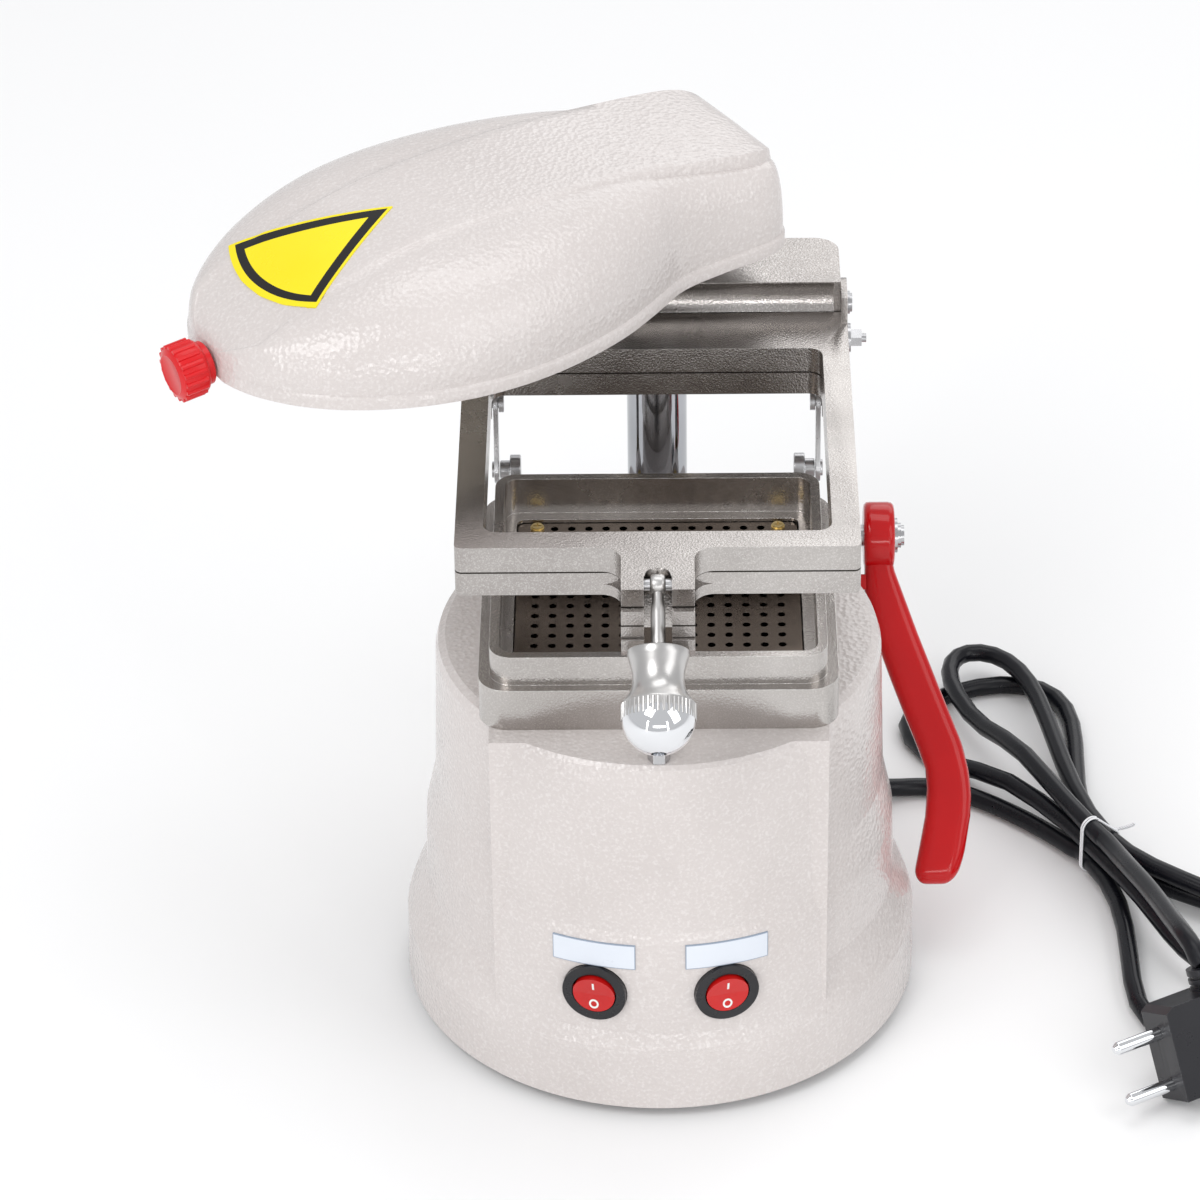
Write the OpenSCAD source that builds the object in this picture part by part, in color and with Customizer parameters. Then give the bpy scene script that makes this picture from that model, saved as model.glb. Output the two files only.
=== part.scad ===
// Benchtop pressure sheet former: cast pot with a vacuum motor, a square vacuum tray,
// a two-plate sheet frame on a chromed column, and a swinging dome heater.
// Units are millimetres, +Z is up, the front faces -Y, the origin is on the bench
// under the middle of the pot.

/* [Pot] */
// Radius of the pot at its foot
pot_foot_r = 93; // [91:0.5:95]
// Radius of the pot's middle tier
pot_mid_r = 84.6; // [84:0.2:86]
// Radius of the pot's upper tier just under its top
pot_top_r = 79.2; // [78.6:0.2:80]
// Height of the pot's flat top above the bench
pot_top_z = 148; // [147.6:0.1:148]
// Gap under the pot that the feet leave
foot_gap = 5; // [4:0.5:6]
// Wall thickness of the casting
pot_wall = 4; // [3:0.25:4.5]
// Half width of the front panel
panel_hw = 59; // [56:0.5:60]
// Back face of the rear tower
tower_y = 122; // [120:1:126]

/* [Tray] */
// Half width of the tray's flange
flange_hw = 62.3; // [60:0.1:63]
// Height of the flange's upper face
flange_z = 164.5; // [163:0.1:164.6]
// Half width of the rim that the frame drops over
rim_hw = 58.35; // [57:0.05:58.5]
// Height of the rim's top
rim_z = 176; // [172:0.5:178]
// Spacing of the suction holes
hole_pitch = 6.2; // [6:0.1:6.3]
// Diameter of one suction hole
hole_d = 2.8; // [1.5:0.1:3.2]

/* [Sheet frame] */
// Half width of both frame plates
frame_hw = 68.5; // [67:0.5:70]
// Half width of the window in both plates
window_hw = 59; // [58.8:0.1:60]
// Top face of the upper plate with the frame raised
frame_z = 228; // [228:0.1:228.2]
// Front edge of both plates
frame_y = -68.8; // [-70:0.1:-68]
// Width of the slot for the clamp bolt
slot_w = 9.4; // [9:0.1:10]
// Half width of the front tongue
tongue_hw = 12.3; // [11.5:0.1:13]
// Travel of the frame from raised to resting on the tray
lift_travel = 44; // [40:0.5:44]

/* [Column and heater] */
// Diameter of the column
post_d = 22; // [21:0.5:22]
// Distance of the column's axis behind the pot's axis
post_y = 100; // [99.8:0.1:100.2]
// Angle of the heater from over the frame, swung to the left
swing_deg = 58; // [0:1:122]
// Height of the heater's rim above the bench
dome_z = 255; // [254:0.5:257]
// Half width of the heater's dome
dome_hw = 68; // [66:0.5:70]

/* [Lever] */
// Angle of the lever in front of straight down
lever_deg = 36; // [36:1:38]
// Length of a crank between its two centres
crank_r = 30; // [29.8:0.1:30.2]
// Thickness of the lever across its broad face
lever_t = 11; // [9:0.5:12]

/* [Switches and cord] */
// Diameter of a switch's bezel
bezel_d = 23; // [22:0.2:24]
// Sideways distance of each switch from the middle
switch_x = 23.1; // [22:0.1:25]
// Height of the switches
switch_z = 53; // [50:0.5:54]
// Diameter of the power cord
cord_d = 7; // [6:0.1:7]
// Width of the tie round the cord
tie_w = 3; // [2:0.5:5]

/* [Hidden] */
$fn = 64;
eps = 0.02;
gap = 0.1;
cream = [0.88, 0.85, 0.82];
nickel = [0.72, 0.71, 0.69];
chrome = [0.82, 0.83, 0.85];
steel = [0.62, 0.63, 0.65];
black = [0.07, 0.07, 0.08];
red = [0.78, 0.03, 0.05];
brass = [0.78, 0.62, 0.3];
white = [0.93, 0.94, 0.95];
ceramic = [0.9, 0.87, 0.8];
copper = [0.72, 0.42, 0.25];

post_r = post_d / 2;
roof_t = 6;
roof_z = pot_top_z - roof_t;
tower_z = 131;
cord_y = 92;
cord_z = 18;
gland_x = 62;
// beside the tower there is room for a crank, a link and the frame's ear
tower_hw = frame_hw - 24.5;
tower_r = 12;
lug_x = tower_hw - 10;
crank_x = tower_hw + 6;
crank_t = 4;
link_x = crank_x + 7.95;
link_t = 1.7;
shaft_y = 84.2;
shaft_z = 131.5;
shaft_r = 4;
bush_r = 7;
lug_r = 10;
boss_z = 97;
boss_r = 18;
collar_z = 139;
collar_r = 16.5;
pin_y = 79.4;
pin_z = 112.7;
pin_r = 3;

// switches sit square to the curved panel
panel_r = 89.6;
switch_a = asin(switch_x / panel_r);
barrel_r = 9.9;
rocker_tip = 6;
rocker_v = 5;
foot_a = 50.7;
foot_pr = pot_foot_r - 12.9;
foot_x = foot_pr * cos(foot_a);
foot_y = foot_pr * sin(foot_a);
rear_x = tower_hw - 14;
foot_at = [[foot_x, -foot_y, -foot_a], [-foot_x, -foot_y, 180 + foot_a], [rear_x, 110, 0],
           [-rear_x, 110, 180]];

// the frame's own levels
seam_z = frame_z - 10;
lower_z = seam_z - 9;
block_y = 84.2;
block_y2 = 115.8;
block_z = 196;
block_top = 240.3;
ear_t = 2.3;
block_hw = frame_hw - ear_t;
lug_t = 6;
bush_out = 13;
run = 0.05;
hinge_y = 88;
hinge_z = 229.5;
hinge_r = 2.2;
ear_r = 9;
link_y = 88;
link_z = 188;
link_r = 2;
link_lean = -atan((link_y - shaft_y) / (link_z - shaft_z - crank_r));
tongue_y = -101;
tongue_z = 213.4;
tongue_low = 204;
slot_y = -81.2;

// clamp: pivot, slope and stations along the bolt
eye_y = -85.4;
eye_z = 224.1;
eye_r = 3.6;
clamp_rot = 129;
seat_s = 22.6;
flat_s = 23;
ball_s = 46.5;
ball_r = 12.4;
ring_s = 41.6;
ring_r = 13.1;
ring_w = 5.8;

// heater stations: distance from the column, half width, top height above the rim
dome_a = 94.5;
dome_c = 88;
neck_hw = 41;
neck_u = -35;
nose_u = 182.5;
skin = 2.4;
lip_h = 4.5;
lip_t = 1.2;
st_u = [-35, -33.5, -30, -24, -14, -2, 10, 18, 26, 36, 48, 62, 78, 94, 110,
        124, 136, 147, 156, 163.5, 169.5, 174, 177.6, 180.2, 181.8];
st_w = [29, 33.5, 37.5, 40, 41, 41.8, 43, 45, 49, 54, 59.3, 63.6, 66.8, 68, 66.9,
        63.8, 59.6, 54.2, 48.5, 42.2, 35.8, 29.6, 23.4, 17, 11];
st_h = [30, 32.5, 34.5, 36, 37.5, 39, 40.2, 41, 41.8, 42.5, 43, 43.2, 43, 42.2, 40.6,
        38, 34.8, 31, 26.8, 23, 20, 17.5, 15.2, 13, 10.5];
st_s = [3.5, 4, 4.5, 5, 5, 4.4, 3.4, 2.6, 2, 1.6, 1.4, 1.2, 1.2, 1.2, 1.2,
        1.2, 1.1, 0.8, 0.4, 0, 0, 0, 0, 0, 0];

// the hank of cord: its tie, the ways its two lobes point, and for each pass through
// a lobe the sense, length, width out, width back, level and rise
tie_at = [166, 54];
lobe_1 = [0.29, -0.957];
lobe_2 = [0.64, -0.77];
lobe_bend = 25;
pair_q = 4;
stack = 7.8;
tie_lift = 1.3;
passes = [[1, 104, 120, 70, 0, 0], [-1, 122, 65, 90, 0, 1], [1, 96, 40, 45, 1, 0],
          [-1, 135, 35, 30, 1, 1]];
cord_r = cord_d / 2;
cord_points = [[36, 92, 18], [50, 92, 18], [64, 92, 17.6], [73, 93.5, 13.5], [81, 96.5, 7.6],
               [91, 100, 4.6], [103, 101.5, 3.6], [115, 98, 3.6], [127, 90.5, 3.6],
               [138, 81.5, 3.6], [147.5, 72, 3.8], [156, 61.5, 4.4]];
tail_points = [[167.2, 43.6, 20.4], [170.9, 32, 22.6], [174.5, 17, 27], [178, 3, 31],
               [181.5, -13, 35.4], [184.5, -29, 40], [187.5, -44, 44.2],
               [190, -52, 44.6], [191.7, -57, 42.9]];
plug_at = [179, -83.5, 18.4];
plug_turn = 29.3;
plug_roll = 60;
relief_x = 24;
relief_end = 27;

motor_r = 36;
motor_top = 92;
fan_r = 58;
fan_top = 128;
pipe_r = 15;
duct_r = 12;
coil_rings = [9, 18, 27, 36];
decal_u = 107;
decal_r = [3, 10, 18, 26, 34, 42, 49, 52.4];
decal_a = 29.5;
lever_in = [[76.2, 20.6], [80, 37.7], [85.1, 52.2], [90.2, 65.7], [95.2, 78.1], [98.1, 86.4],
            [98.7, 93.6], [97.9, 103.9], [95.9, 114.2], [93.8, 124.5], [94.8, 127.6],
            [99.9, 129], [108.2, 128.7], [110, 124.6]];
lever_out = [[112.4, 117.4], [114.6, 104], [115, 95.8], [114.2, 87.5], [111.8, 77.2],
             [107.7, 66.8], [103.6, 56.5], [99.6, 46.1], [95.6, 35.8], [91.5, 24.4], [87, 12],
             [87, 0], [76.2, 0]];

// Plan of a box with rounded corners
module plan_box(hx, hy, r) {
    square([2 * hx - 2 * r, 2 * hy], center = true);
    square([2 * hx, 2 * hy - 2 * r], center = true);
    for (sx = [-1, 1], sy = [-1, 1])
        translate([sx * (hx - r), sy * (hy - r)])
            circle(r);
}

module rod_x(r, x1, x2, y, z, n = 48) {
    translate([x1, y, z])
        rotate([0, 90, 0])
            cylinder(r = r, h = x2 - x1, $fn = n);
}

module both_sides() {
    children();
    mirror([1, 0, 0])
        children();
}

module pan_head(r, h) {
    difference() {
        union() {
            cylinder(r = r, h = h * 0.55, $fn = 40);
            cylinder(r = r * 0.82, h = h, $fn = 40);
        }
        for (a = [0, 90])
            rotate([0, 0, a])
                translate([-r * 0.6, -r * 0.11, h * 0.5])
                    cube([r * 1.2, r * 0.22, h]);
    }
}

// Turned profile of the pot, in by t from its outside
module tier_profile(t, low, top) {
    polygon([[0, low], [pot_foot_r - t, low], [pot_foot_r - 0.4 - t, 29], [90.6 - t, 35],
             [pot_mid_r + 0.6 - t, 46.5], [pot_mid_r - 0.2 - t, 73], [80.7 - t, 90],
             [pot_top_r - t, top - 5], [pot_top_r - 1 - t, top - 1.5],
             [pot_top_r - 3.5 - t, top], [0, top]]);
}

module panel_profile(t, low, top) {
    polygon([[0, low], [93.1 - t, low], [92.4 - t, 30.5], [90.1 - t, 34.5], [89.4 - t, 75],
             [87.9 - t, 79], [86.2 - t, top - 7], [84.6 - t, top - 1.4], [83.2 - t, top],
             [0, top]]);
}

module slab(hw, y1, y2, z1, z2) {
    translate([-hw, y1, z1])
        cube([2 * hw, y2 - y1, z2 - z1]);
}

module pot_outside() {
    rotate_extrude($fn = 96)
        tier_profile(0, foot_gap, pot_top_z);
    intersection() {
        rotate_extrude($fn = 96)
            panel_profile(0, foot_gap, pot_top_z);
        slab(panel_hw, -100, -20, foot_gap - 1, pot_top_z + 1);
    }
    slab(panel_hw - 0.3, -69.4, -25, foot_gap, pot_top_z);
    translate([0, tower_y - 50, foot_gap])
        linear_extrude(height = tower_z - foot_gap)
            plan_box(tower_hw, 50, tower_r);
    translate([0, post_y, tower_z - 1])
        cylinder(r = collar_r, h = collar_z - tower_z + 1);
    both_sides()
        lug();
}

module lug() {
    translate([lug_x, 66, tower_z - 12])
        cube([tower_hw - lug_x, shaft_y + lug_r - 66, shaft_z - tower_z + 12]);
    rod_x(lug_r, lug_x, tower_hw, shaft_y, shaft_z);
}

module pot_inside() {
    rotate_extrude($fn = 96)
        tier_profile(pot_wall, -1, roof_z);
    intersection() {
        rotate_extrude($fn = 96)
            panel_profile(pot_wall, -1, roof_z);
        slab(panel_hw - pot_wall, -100, -21, -2, roof_z + 1);
    }
    translate([0, tower_y - 50, -1])
        linear_extrude(height = tower_z - 5)
            plan_box(tower_hw - pot_wall, 50 - pot_wall, tower_r - pot_wall);
}

// Each foot: place and the way to the nearest wall
module on_feet() {
    for (p = foot_at)
        translate([p[0], p[1], 0])
            rotate([0, 0, p[2]])
                children();
}

module foot_boss() {
    translate([0, 0, foot_gap + 2.5])
        cylinder(r = 6, h = 14, $fn = 32);
    translate([0, -4, foot_gap + 2.5])
        cube([10.6, 8, 14]);
}

module on_switch(sx) {
    rotate([0, 0, sx * switch_a])
        translate([0, -panel_r, switch_z])
            rotate([90, 0, 0])
                children();
}

module on_tray_screws() {
    for (sx = [-1, 1], sy = [-1, 1])
        translate([sx * 36, sy * 36, 0])
            children();
}

module on_plate_screws() {
    for (sx = [-1, 1], sy = [-1, 1])
        translate([sx * 43.4, sy * 46.5, 0])
            children();
}

module pot() {
    color(cream)
        difference() {
            union() {
                difference() {
                    pot_outside();
                    pot_inside();
                }
                translate([0, post_y, boss_z])
                    cylinder(r = boss_r, h = tower_z - boss_z);
                on_feet()
                    foot_boss();
            }
            translate([0, 0, roof_z - 1])
                cylinder(r = 15.2, h = roof_t + 2);
            translate([0, post_y, boss_z - 1])
                cylinder(r = post_r, h = collar_z - boss_z + 2);
            slab(lug_x, shaft_y - shaft_r - 0.6, post_y - post_r + 0.5, shaft_z - shaft_r - 0.4,
                 pot_top_z + 1);
            both_sides() {
                rod_x(bush_r, lug_x - 1, tower_hw + 1, shaft_y, shaft_z);
            }
            rod_x(pin_r, tower_hw - pot_wall - 1, tower_hw + 1, pin_y, pin_z);
            rod_x(8, tower_hw - pot_wall - 1, tower_hw + 1, cord_y, cord_z);
            rod_x(10 + gap, tower_hw, tower_hw + 12, cord_y, cord_z);
            for (sx = [-1, 1])
                on_switch(sx)
                    translate([0, 0, -16])
                        cylinder(r = barrel_r + gap, h = 20);
            for (sx = [-1, 1])
                on_switch(sx)
                    translate([0, 0, -1.2])
                        cylinder(r = bezel_d / 2 + 0.15, h = 4);
            on_feet()
                translate([0, 0, foot_gap])
                    cylinder(r = 1.6, h = 14, $fn = 24);
            on_tray_screws()
                translate([0, 0, roof_z - 1])
                    cylinder(r = 1.8, h = roof_t + 2, $fn = 24);
            translate([0, -79.4, roof_z + 1])
                cylinder(r = 1.6, h = roof_t, $fn = 24);
            label_shape();
        }
}

module bottom_plate() {
    color(steel)
        difference() {
            translate([0, 0, foot_gap])
                linear_extrude(height = 2.5) {
                    circle(r = pot_foot_r - pot_wall - gap, $fn = 96);
                    translate([0, tower_y - 50])
                        plan_box(tower_hw - pot_wall - gap, 50 - pot_wall - gap,
                                 tower_r - pot_wall);
                }
            on_feet()
                translate([0, 0, foot_gap - 1])
                    cylinder(r = 1.9, h = 5, $fn = 24);
            for (a = [20:40:340])
                rotate([0, 0, a])
                    translate([52, 0, foot_gap - 1])
                        cylinder(r = 4, h = 5, $fn = 32);
        }
}

module feet() {
    color(black)
        on_feet()
            difference() {
                union() {
                    cylinder(r = 8.4, h = foot_gap);
                    translate([0, 0, 1.2])
                        cylinder(r = 9, h = foot_gap - 1.2);
                }
                translate([0, 0, -1])
                    cylinder(r = 3.6, h = 3.4, $fn = 32);
                cylinder(r = 1.6, h = foot_gap + 1, $fn = 24);
            }
}

module foot_screws() {
    color(steel)
        on_feet() {
            translate([0, 0, 0.6])
                cylinder(r = 3.4, h = 1.8, $fn = 32);
            translate([0, 0, 2])
                cylinder(r = 1.6, h = 14, $fn = 24);
        }
}

// Vacuum tray: flange, rim, inner ledge and a floor with the suction port
module tray() {
    z0 = pot_top_z;
    color(nickel)
        difference() {
            union() {
                translate([0, 0, z0])
                    linear_extrude(height = flange_z - z0)
                        plan_box(flange_hw, flange_hw - 0.5, 10);
                translate([0, 0, z0])
                    linear_extrude(height = rim_z - z0)
                        plan_box(rim_hw, rim_hw, 8);
            }
            translate([0, 0, 161.5])
                linear_extrude(height = 20)
                    plan_box(rim_hw - 3.4, rim_hw - 3.4, 5);
            translate([0, 0, 152.5])
                linear_extrude(height = 20)
                    plan_box(50.8, 50.4, 3);
            translate([0, 0, z0 - 1])
                cylinder(r = 12, h = 8);
            translate([0, 0, z0 - 1])
                difference() {
                    cylinder(r = 22, h = 2.5);
                    cylinder(r = 18, h = 3);
                }
            on_tray_screws()
                translate([0, 0, z0 - 1])
                    cylinder(r = 2.1, h = 8, $fn = 24);
        }
    color(nickel)
        on_plate_screws()
            difference() {
                translate([0, 0, 151])
                    cylinder(r = 3.8, h = 7.8, $fn = 32);
                translate([0, 0, 153])
                    cylinder(r = 1.2, h = 8, $fn = 24);
            }
}

module tray_gasket() {
    color(black)
        translate([0, 0, pot_top_z])
            difference() {
                cylinder(r = 22, h = 1.5);
                translate([0, 0, -1])
                    cylinder(r = 18, h = 4);
            }
}

module tray_screws() {
    color(steel)
        on_tray_screws() {
            translate([0, 0, 152.5])
                cylinder(r = 3.4, h = 2.4, $fn = 32);
            translate([0, 0, roof_z - 2])
                cylinder(r = 1.8, h = 12.6, $fn = 24);
        }
}

module hole_plate() {
    color(chrome)
        translate([0, 0, 158.8])
            linear_extrude(height = 1.2)
                difference() {
                    plan_box(50.3, 50, 3);
                    for (i = [-7:7], j = [-7.5:7.5])
                        if (abs(i) < 7 || abs(j) < 7.5)
                            translate([i * hole_pitch, j * hole_pitch])
                                circle(r = hole_d / 2, $fn = 16);
                    for (sx = [-1, 1], sy = [-1, 1])
                        translate([sx * 43.4, sy * 46.5])
                            circle(r = 1.4, $fn = 24);
                }
}

module plate_screws() {
    color(brass)
        on_plate_screws() {
            translate([0, 0, 160])
                pan_head(2.5, 1.5);
            translate([0, 0, 154])
                cylinder(r = 1.2, h = 6.2, $fn = 24);
        }
}

// Column, clamped in the tower by a nut under its boss
module post() {
    color(chrome)
        translate([0, post_y, 90])
            difference() {
                cylinder(r = post_r, h = 193);
                translate([0, 0, -1])
                    cylinder(r = 7, h = 196);
            }
}

module post_nut() {
    color(steel)
        translate([0, post_y, 90])
            difference() {
                cylinder(r = 17, h = boss_z - 90, $fn = 6);
                translate([0, 0, -1])
                    cylinder(r = post_r, h = 9);
            }
}

module post_collar() {
    color(steel)
        translate([0, post_y, 241])
            difference() {
                cylinder(r = 15, h = 4);
                translate([0, 0, -1])
                    cylinder(r = post_r, h = 6);
            }
}

module post_cap() {
    color(steel)
        translate([0, post_y, 0]) {
            translate([0, 0, 283])
                cylinder(r = 14.5, h = 2);
            translate([0, 0, 276])
                difference() {
                    cylinder(r = 7, h = 7.2);
                    translate([0, 0, -1])
                        cylinder(r = 3, h = 7);
                }
        }
}

module frame_stop() {
    color(chrome)
        translate([0, -79.4, pot_top_z]) {
            cylinder(r = 4, h = 10.4, $fn = 6);
            translate([0, 0, 10.3])
                cylinder(r = 3, h = 1.3);
            translate([0, 0, 1 - roof_t])
                cylinder(r = 1.6, h = roof_t - 0.5, $fn = 24);
        }
}

module stop_pin() {
    color(steel)
        rod_x(pin_r, tower_hw - pot_wall - 2, 76, pin_y, pin_z);
}

module shaft_bushes() {
    color(brass)
        both_sides()
            difference() {
                union() {
                    rod_x(bush_r, lug_x, tower_hw, shaft_y, shaft_z);
                    rod_x(bush_r + 1.5, tower_hw, tower_hw + 1.2, shaft_y, shaft_z);
                }
                rod_x(shaft_r + run, lug_x - 1, tower_hw + 3, shaft_y, shaft_z);
            }
}

// Round rocker switch: bezel on the panel, barrel through it
module switch_body(sx) {
    on_switch(sx)
        difference() {
            union() {
                translate([0, 0, -1.2])
                    cylinder(r = bezel_d / 2, h = 2.7);
                translate([0, 0, -18])
                    cylinder(r = barrel_r, h = 18);
                for (x = [-5, 0, 5])
                    translate([x - 0.4, -2.4, -25])
                        cube([0.8, 4.8, 8]);
            }
            translate([0, 0, -6])
                cylinder(r = 8.1, h = 12);
            rotate([0, 90, 0])
                translate([1.2, 0, -9.2])
                    cylinder(r = 1.06, h = 18.4, $fn = 24);
        }
}

module switch_bodies() {
    color(black)
        for (sx = [-1, 1])
            switch_body(sx);
}

// Rocker with a pin each side, tipped to its off side
module rocker(sx) {
    color(red)
        on_switch(sx)
            translate([0, 0, -1.2])
                rotate([rocker_tip, 0, 0])
                    translate([0, 0, 1.2]) {
                        intersection() {
                            union() {
                                translate([0, 1.8, -1.6])
                                    rotate([rocker_v, 0, 0])
                                        translate([-8, -1.8, -1.5])
                                            cube([16, 10, 4.9]);
                                translate([0, -1.8, -1.6])
                                    rotate([-rocker_v, 0, 0])
                                        translate([-8, -8.2, -1.5])
                                            cube([16, 10, 4.9]);
                            }
                            translate([0, 0, -4])
                                cylinder(r = 7.6, h = 12);
                        }
                        rod_x(1, -9, 9, 0, -1.2, 24);
                    }
}

module rocker_left() {
    rocker(-1);
}

module rocker_right() {
    rocker(1);
}

module label_shape() {
    for (sx = [-1, 1])
        rotate([0, 0, sx * 15.2 - 90 - 9.6])
            translate([0, 0, 64.5])
                rotate_extrude(angle = 19.2, $fn = 96)
                    translate([89, 0])
                        square([1, 10.5]);
}

// Blank label plates, bent to the panel above each switch
module label_plates() {
    color(white)
        label_shape();
}

module motor_mount() {
    color(steel)
        difference() {
            union() {
                translate([0, 0, 18.5])
                    cylinder(r = 47, h = 3.5);
                for (a = [45:90:315])
                    rotate([0, 0, a])
                        translate([41, 0, foot_gap + 2.5])
                            cylinder(r = 5, h = 12, $fn = 32);
            }
            translate([0, 0, 17])
                cylinder(r = 12, h = 8);
        }
}

module motor() {
    color(steel)
        difference() {
            union() {
                translate([0, 0, 22])
                    cylinder(r = motor_r, h = motor_top - 22);
                translate([0, 0, 30])
                    cylinder(r = motor_r + 2, h = 12);
                translate([0, 0, 66])
                    cylinder(r = motor_r + 2, h = 12);
            }
            translate([0, 0, 58])
                cylinder(r = 4 + run, h = 40, $fn = 48);
            for (a = [0:30:330])
                rotate([0, 0, a])
                    translate([motor_r - 3, -2, 46])
                        cube([6, 4, 16]);
        }
}

module fan_housing() {
    color(steel)
        difference() {
            translate([0, 0, motor_top])
                cylinder(r = fan_r, h = fan_top - motor_top);
            translate([0, 0, motor_top + 4])
                cylinder(r = fan_r - 3, h = fan_top - motor_top - 8);
            translate([0, 0, motor_top - 1])
                cylinder(r = 8, h = 10);
            translate([0, 0, fan_top - 6])
                cylinder(r = duct_r, h = 8);
            for (a = [30:60:330])
                rotate([0, 0, a])
                    translate([47, 0, motor_top - 1])
                        cylinder(r = 5, h = 8, $fn = 32);
        }
}

module suction_pipe() {
    color(black)
        translate([0, 0, fan_top])
            difference() {
                cylinder(r = pipe_r, h = pot_top_z - fan_top);
                translate([0, 0, -1])
                    cylinder(r = duct_r, h = 30);
            }
}

module impeller() {
    color(black) {
        translate([0, 0, 62])
            cylinder(r = 4, h = 40, $fn = 48);
        translate([0, 0, 99])
            cylinder(r = 50, h = 2);
        translate([0, 0, 99])
            cylinder(r = 9, h = 18, $fn = 48);
        for (a = [0:40:320])
            rotate([0, 0, a])
                translate([14, -1, 100])
                    cube([34, 2, 17]);
    }
}

module terminal_block() {
    color(white)
        difference() {
            translate([-16, 100, foot_gap + 2.5])
                cube([32, 13, 12]);
            for (x = [-10, 0, 10])
                translate([x, 106.5, foot_gap + 9])
                    cylinder(r = 2.4, h = 8, $fn = 24);
        }
}

module cord_gland() {
    color(black)
        difference() {
            union() {
                rod_x(8, tower_hw - pot_wall - 3, tower_hw + 2, cord_y, cord_z);
                rod_x(10, tower_hw, tower_hw + 3, cord_y, cord_z);
                rod_x(10, tower_hw - pot_wall - 3, tower_hw - pot_wall, cord_y, cord_z, 6);
                rod_x(6.2, tower_hw, gland_x, cord_y, cord_z);
            }
            rod_x(cord_d / 2, tower_hw - pot_wall - 8, gland_x + 4, cord_y, cord_z);
            for (x = [tower_hw + 5:4:gland_x - 3])
                difference() {
                    rod_x(7, x, x + 1.6, cord_y, cord_z);
                    rod_x(5, x - 1, x + 3, cord_y, cord_z);
                }
        }
}

// Lower plate, its tongue, the block that slides on the column, and the link lugs
module lower_frame() {
    color(nickel)
        difference() {
            union() {
                translate([0, (frame_y + 90) / 2, lower_z])
                    linear_extrude(height = seam_z - lower_z)
                        plan_box(frame_hw, (90 - frame_y) / 2, 2.5);
                translate([0, (block_y + block_y2) / 2, block_z])
                    linear_extrude(height = block_top - block_z)
                        plan_box(block_hw, (block_y2 - block_y) / 2, 9);
                tongue_body(tongue_low, tongue_z - 0.2, tongue_y - 1.4);
                both_sides()
                    front_fillet(lower_z, tongue_z - 0.2);
                both_sides() {
                    translate([block_hw - lug_t, link_y - 6, link_z])
                        cube([lug_t, 12, block_z + 6 - link_z]);
                    rod_x(6, block_hw - lug_t, block_hw, link_y, link_z);
                }
                slab(block_hw, block_y, block_y + 14, block_z, block_top);
            }
            window(lower_z);
            translate([0, post_y, block_z - 1])
                cylinder(r = bush_out, h = block_top - block_z + 2);
            rod_x(8.3, 2.4 - block_hw, block_hw - 2.4, 78.3, 234);
            both_sides() {
                translate([18, 89, block_z - 1])
                    cube([block_hw - 27.2, 22, 17]);
                rod_x(hinge_r, block_hw - 8.2, block_hw + 1, hinge_y, hinge_z);
                rod_x(link_r, block_hw - 8.2, block_hw - 0.2, link_y, link_z);
            }
            tongue_slot();
            on_clamp()
                translate([-20, -14, seat_s])
                    cube([40, 28, 20]);
        }
}

// Tongue from under the plate's front edge, with square sides
module tongue_body(z1, z2, y1) {
    slab(tongue_hw, y1, frame_y + 6, z1, z2);
}

module front_fillet(z1, z2) {
    translate([0, 0, z1])
        linear_extrude(height = z2 - z1)
            difference() {
                translate([tongue_hw - 1, frame_y - 7])
                    square([8, 8]);
                translate([tongue_hw + 7, frame_y - 7])
                    circle(r = 7);
            }
}

module tongue_slot() {
    slab(slot_w / 2, tongue_y - 10, slot_y, tongue_low - 5, frame_z + 5);
}

module window(z) {
    translate([0, 0, z - 1])
        linear_extrude(height = 14)
            plan_box(window_hw, window_hw, 5);
}

module carriage_bush() {
    color(brass)
        translate([0, post_y, block_z])
            difference() {
                cylinder(r = bush_out, h = block_top - block_z + 0.4);
                translate([0, 0, -1])
                    cylinder(r = post_r + run, h = 50);
            }
}

module hinge_screws() {
    color(steel)
        both_sides() {
            rod_x(hinge_r, block_hw - 8.2, frame_hw + 0.2, hinge_y, hinge_z);
            translate([frame_hw + 0.1, hinge_y, hinge_z])
                rotate([0, 90, 0])
                    pan_head(4.2, 1.9);
        }
}

module link_screws() {
    color(steel)
        both_sides() {
            rod_x(link_r, link_x - 0.45, block_hw - 0.2, link_y, link_z);
            rod_x(3.5, link_x - 2.15, link_x - 0.35, link_y, link_z);
        }
}

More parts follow.
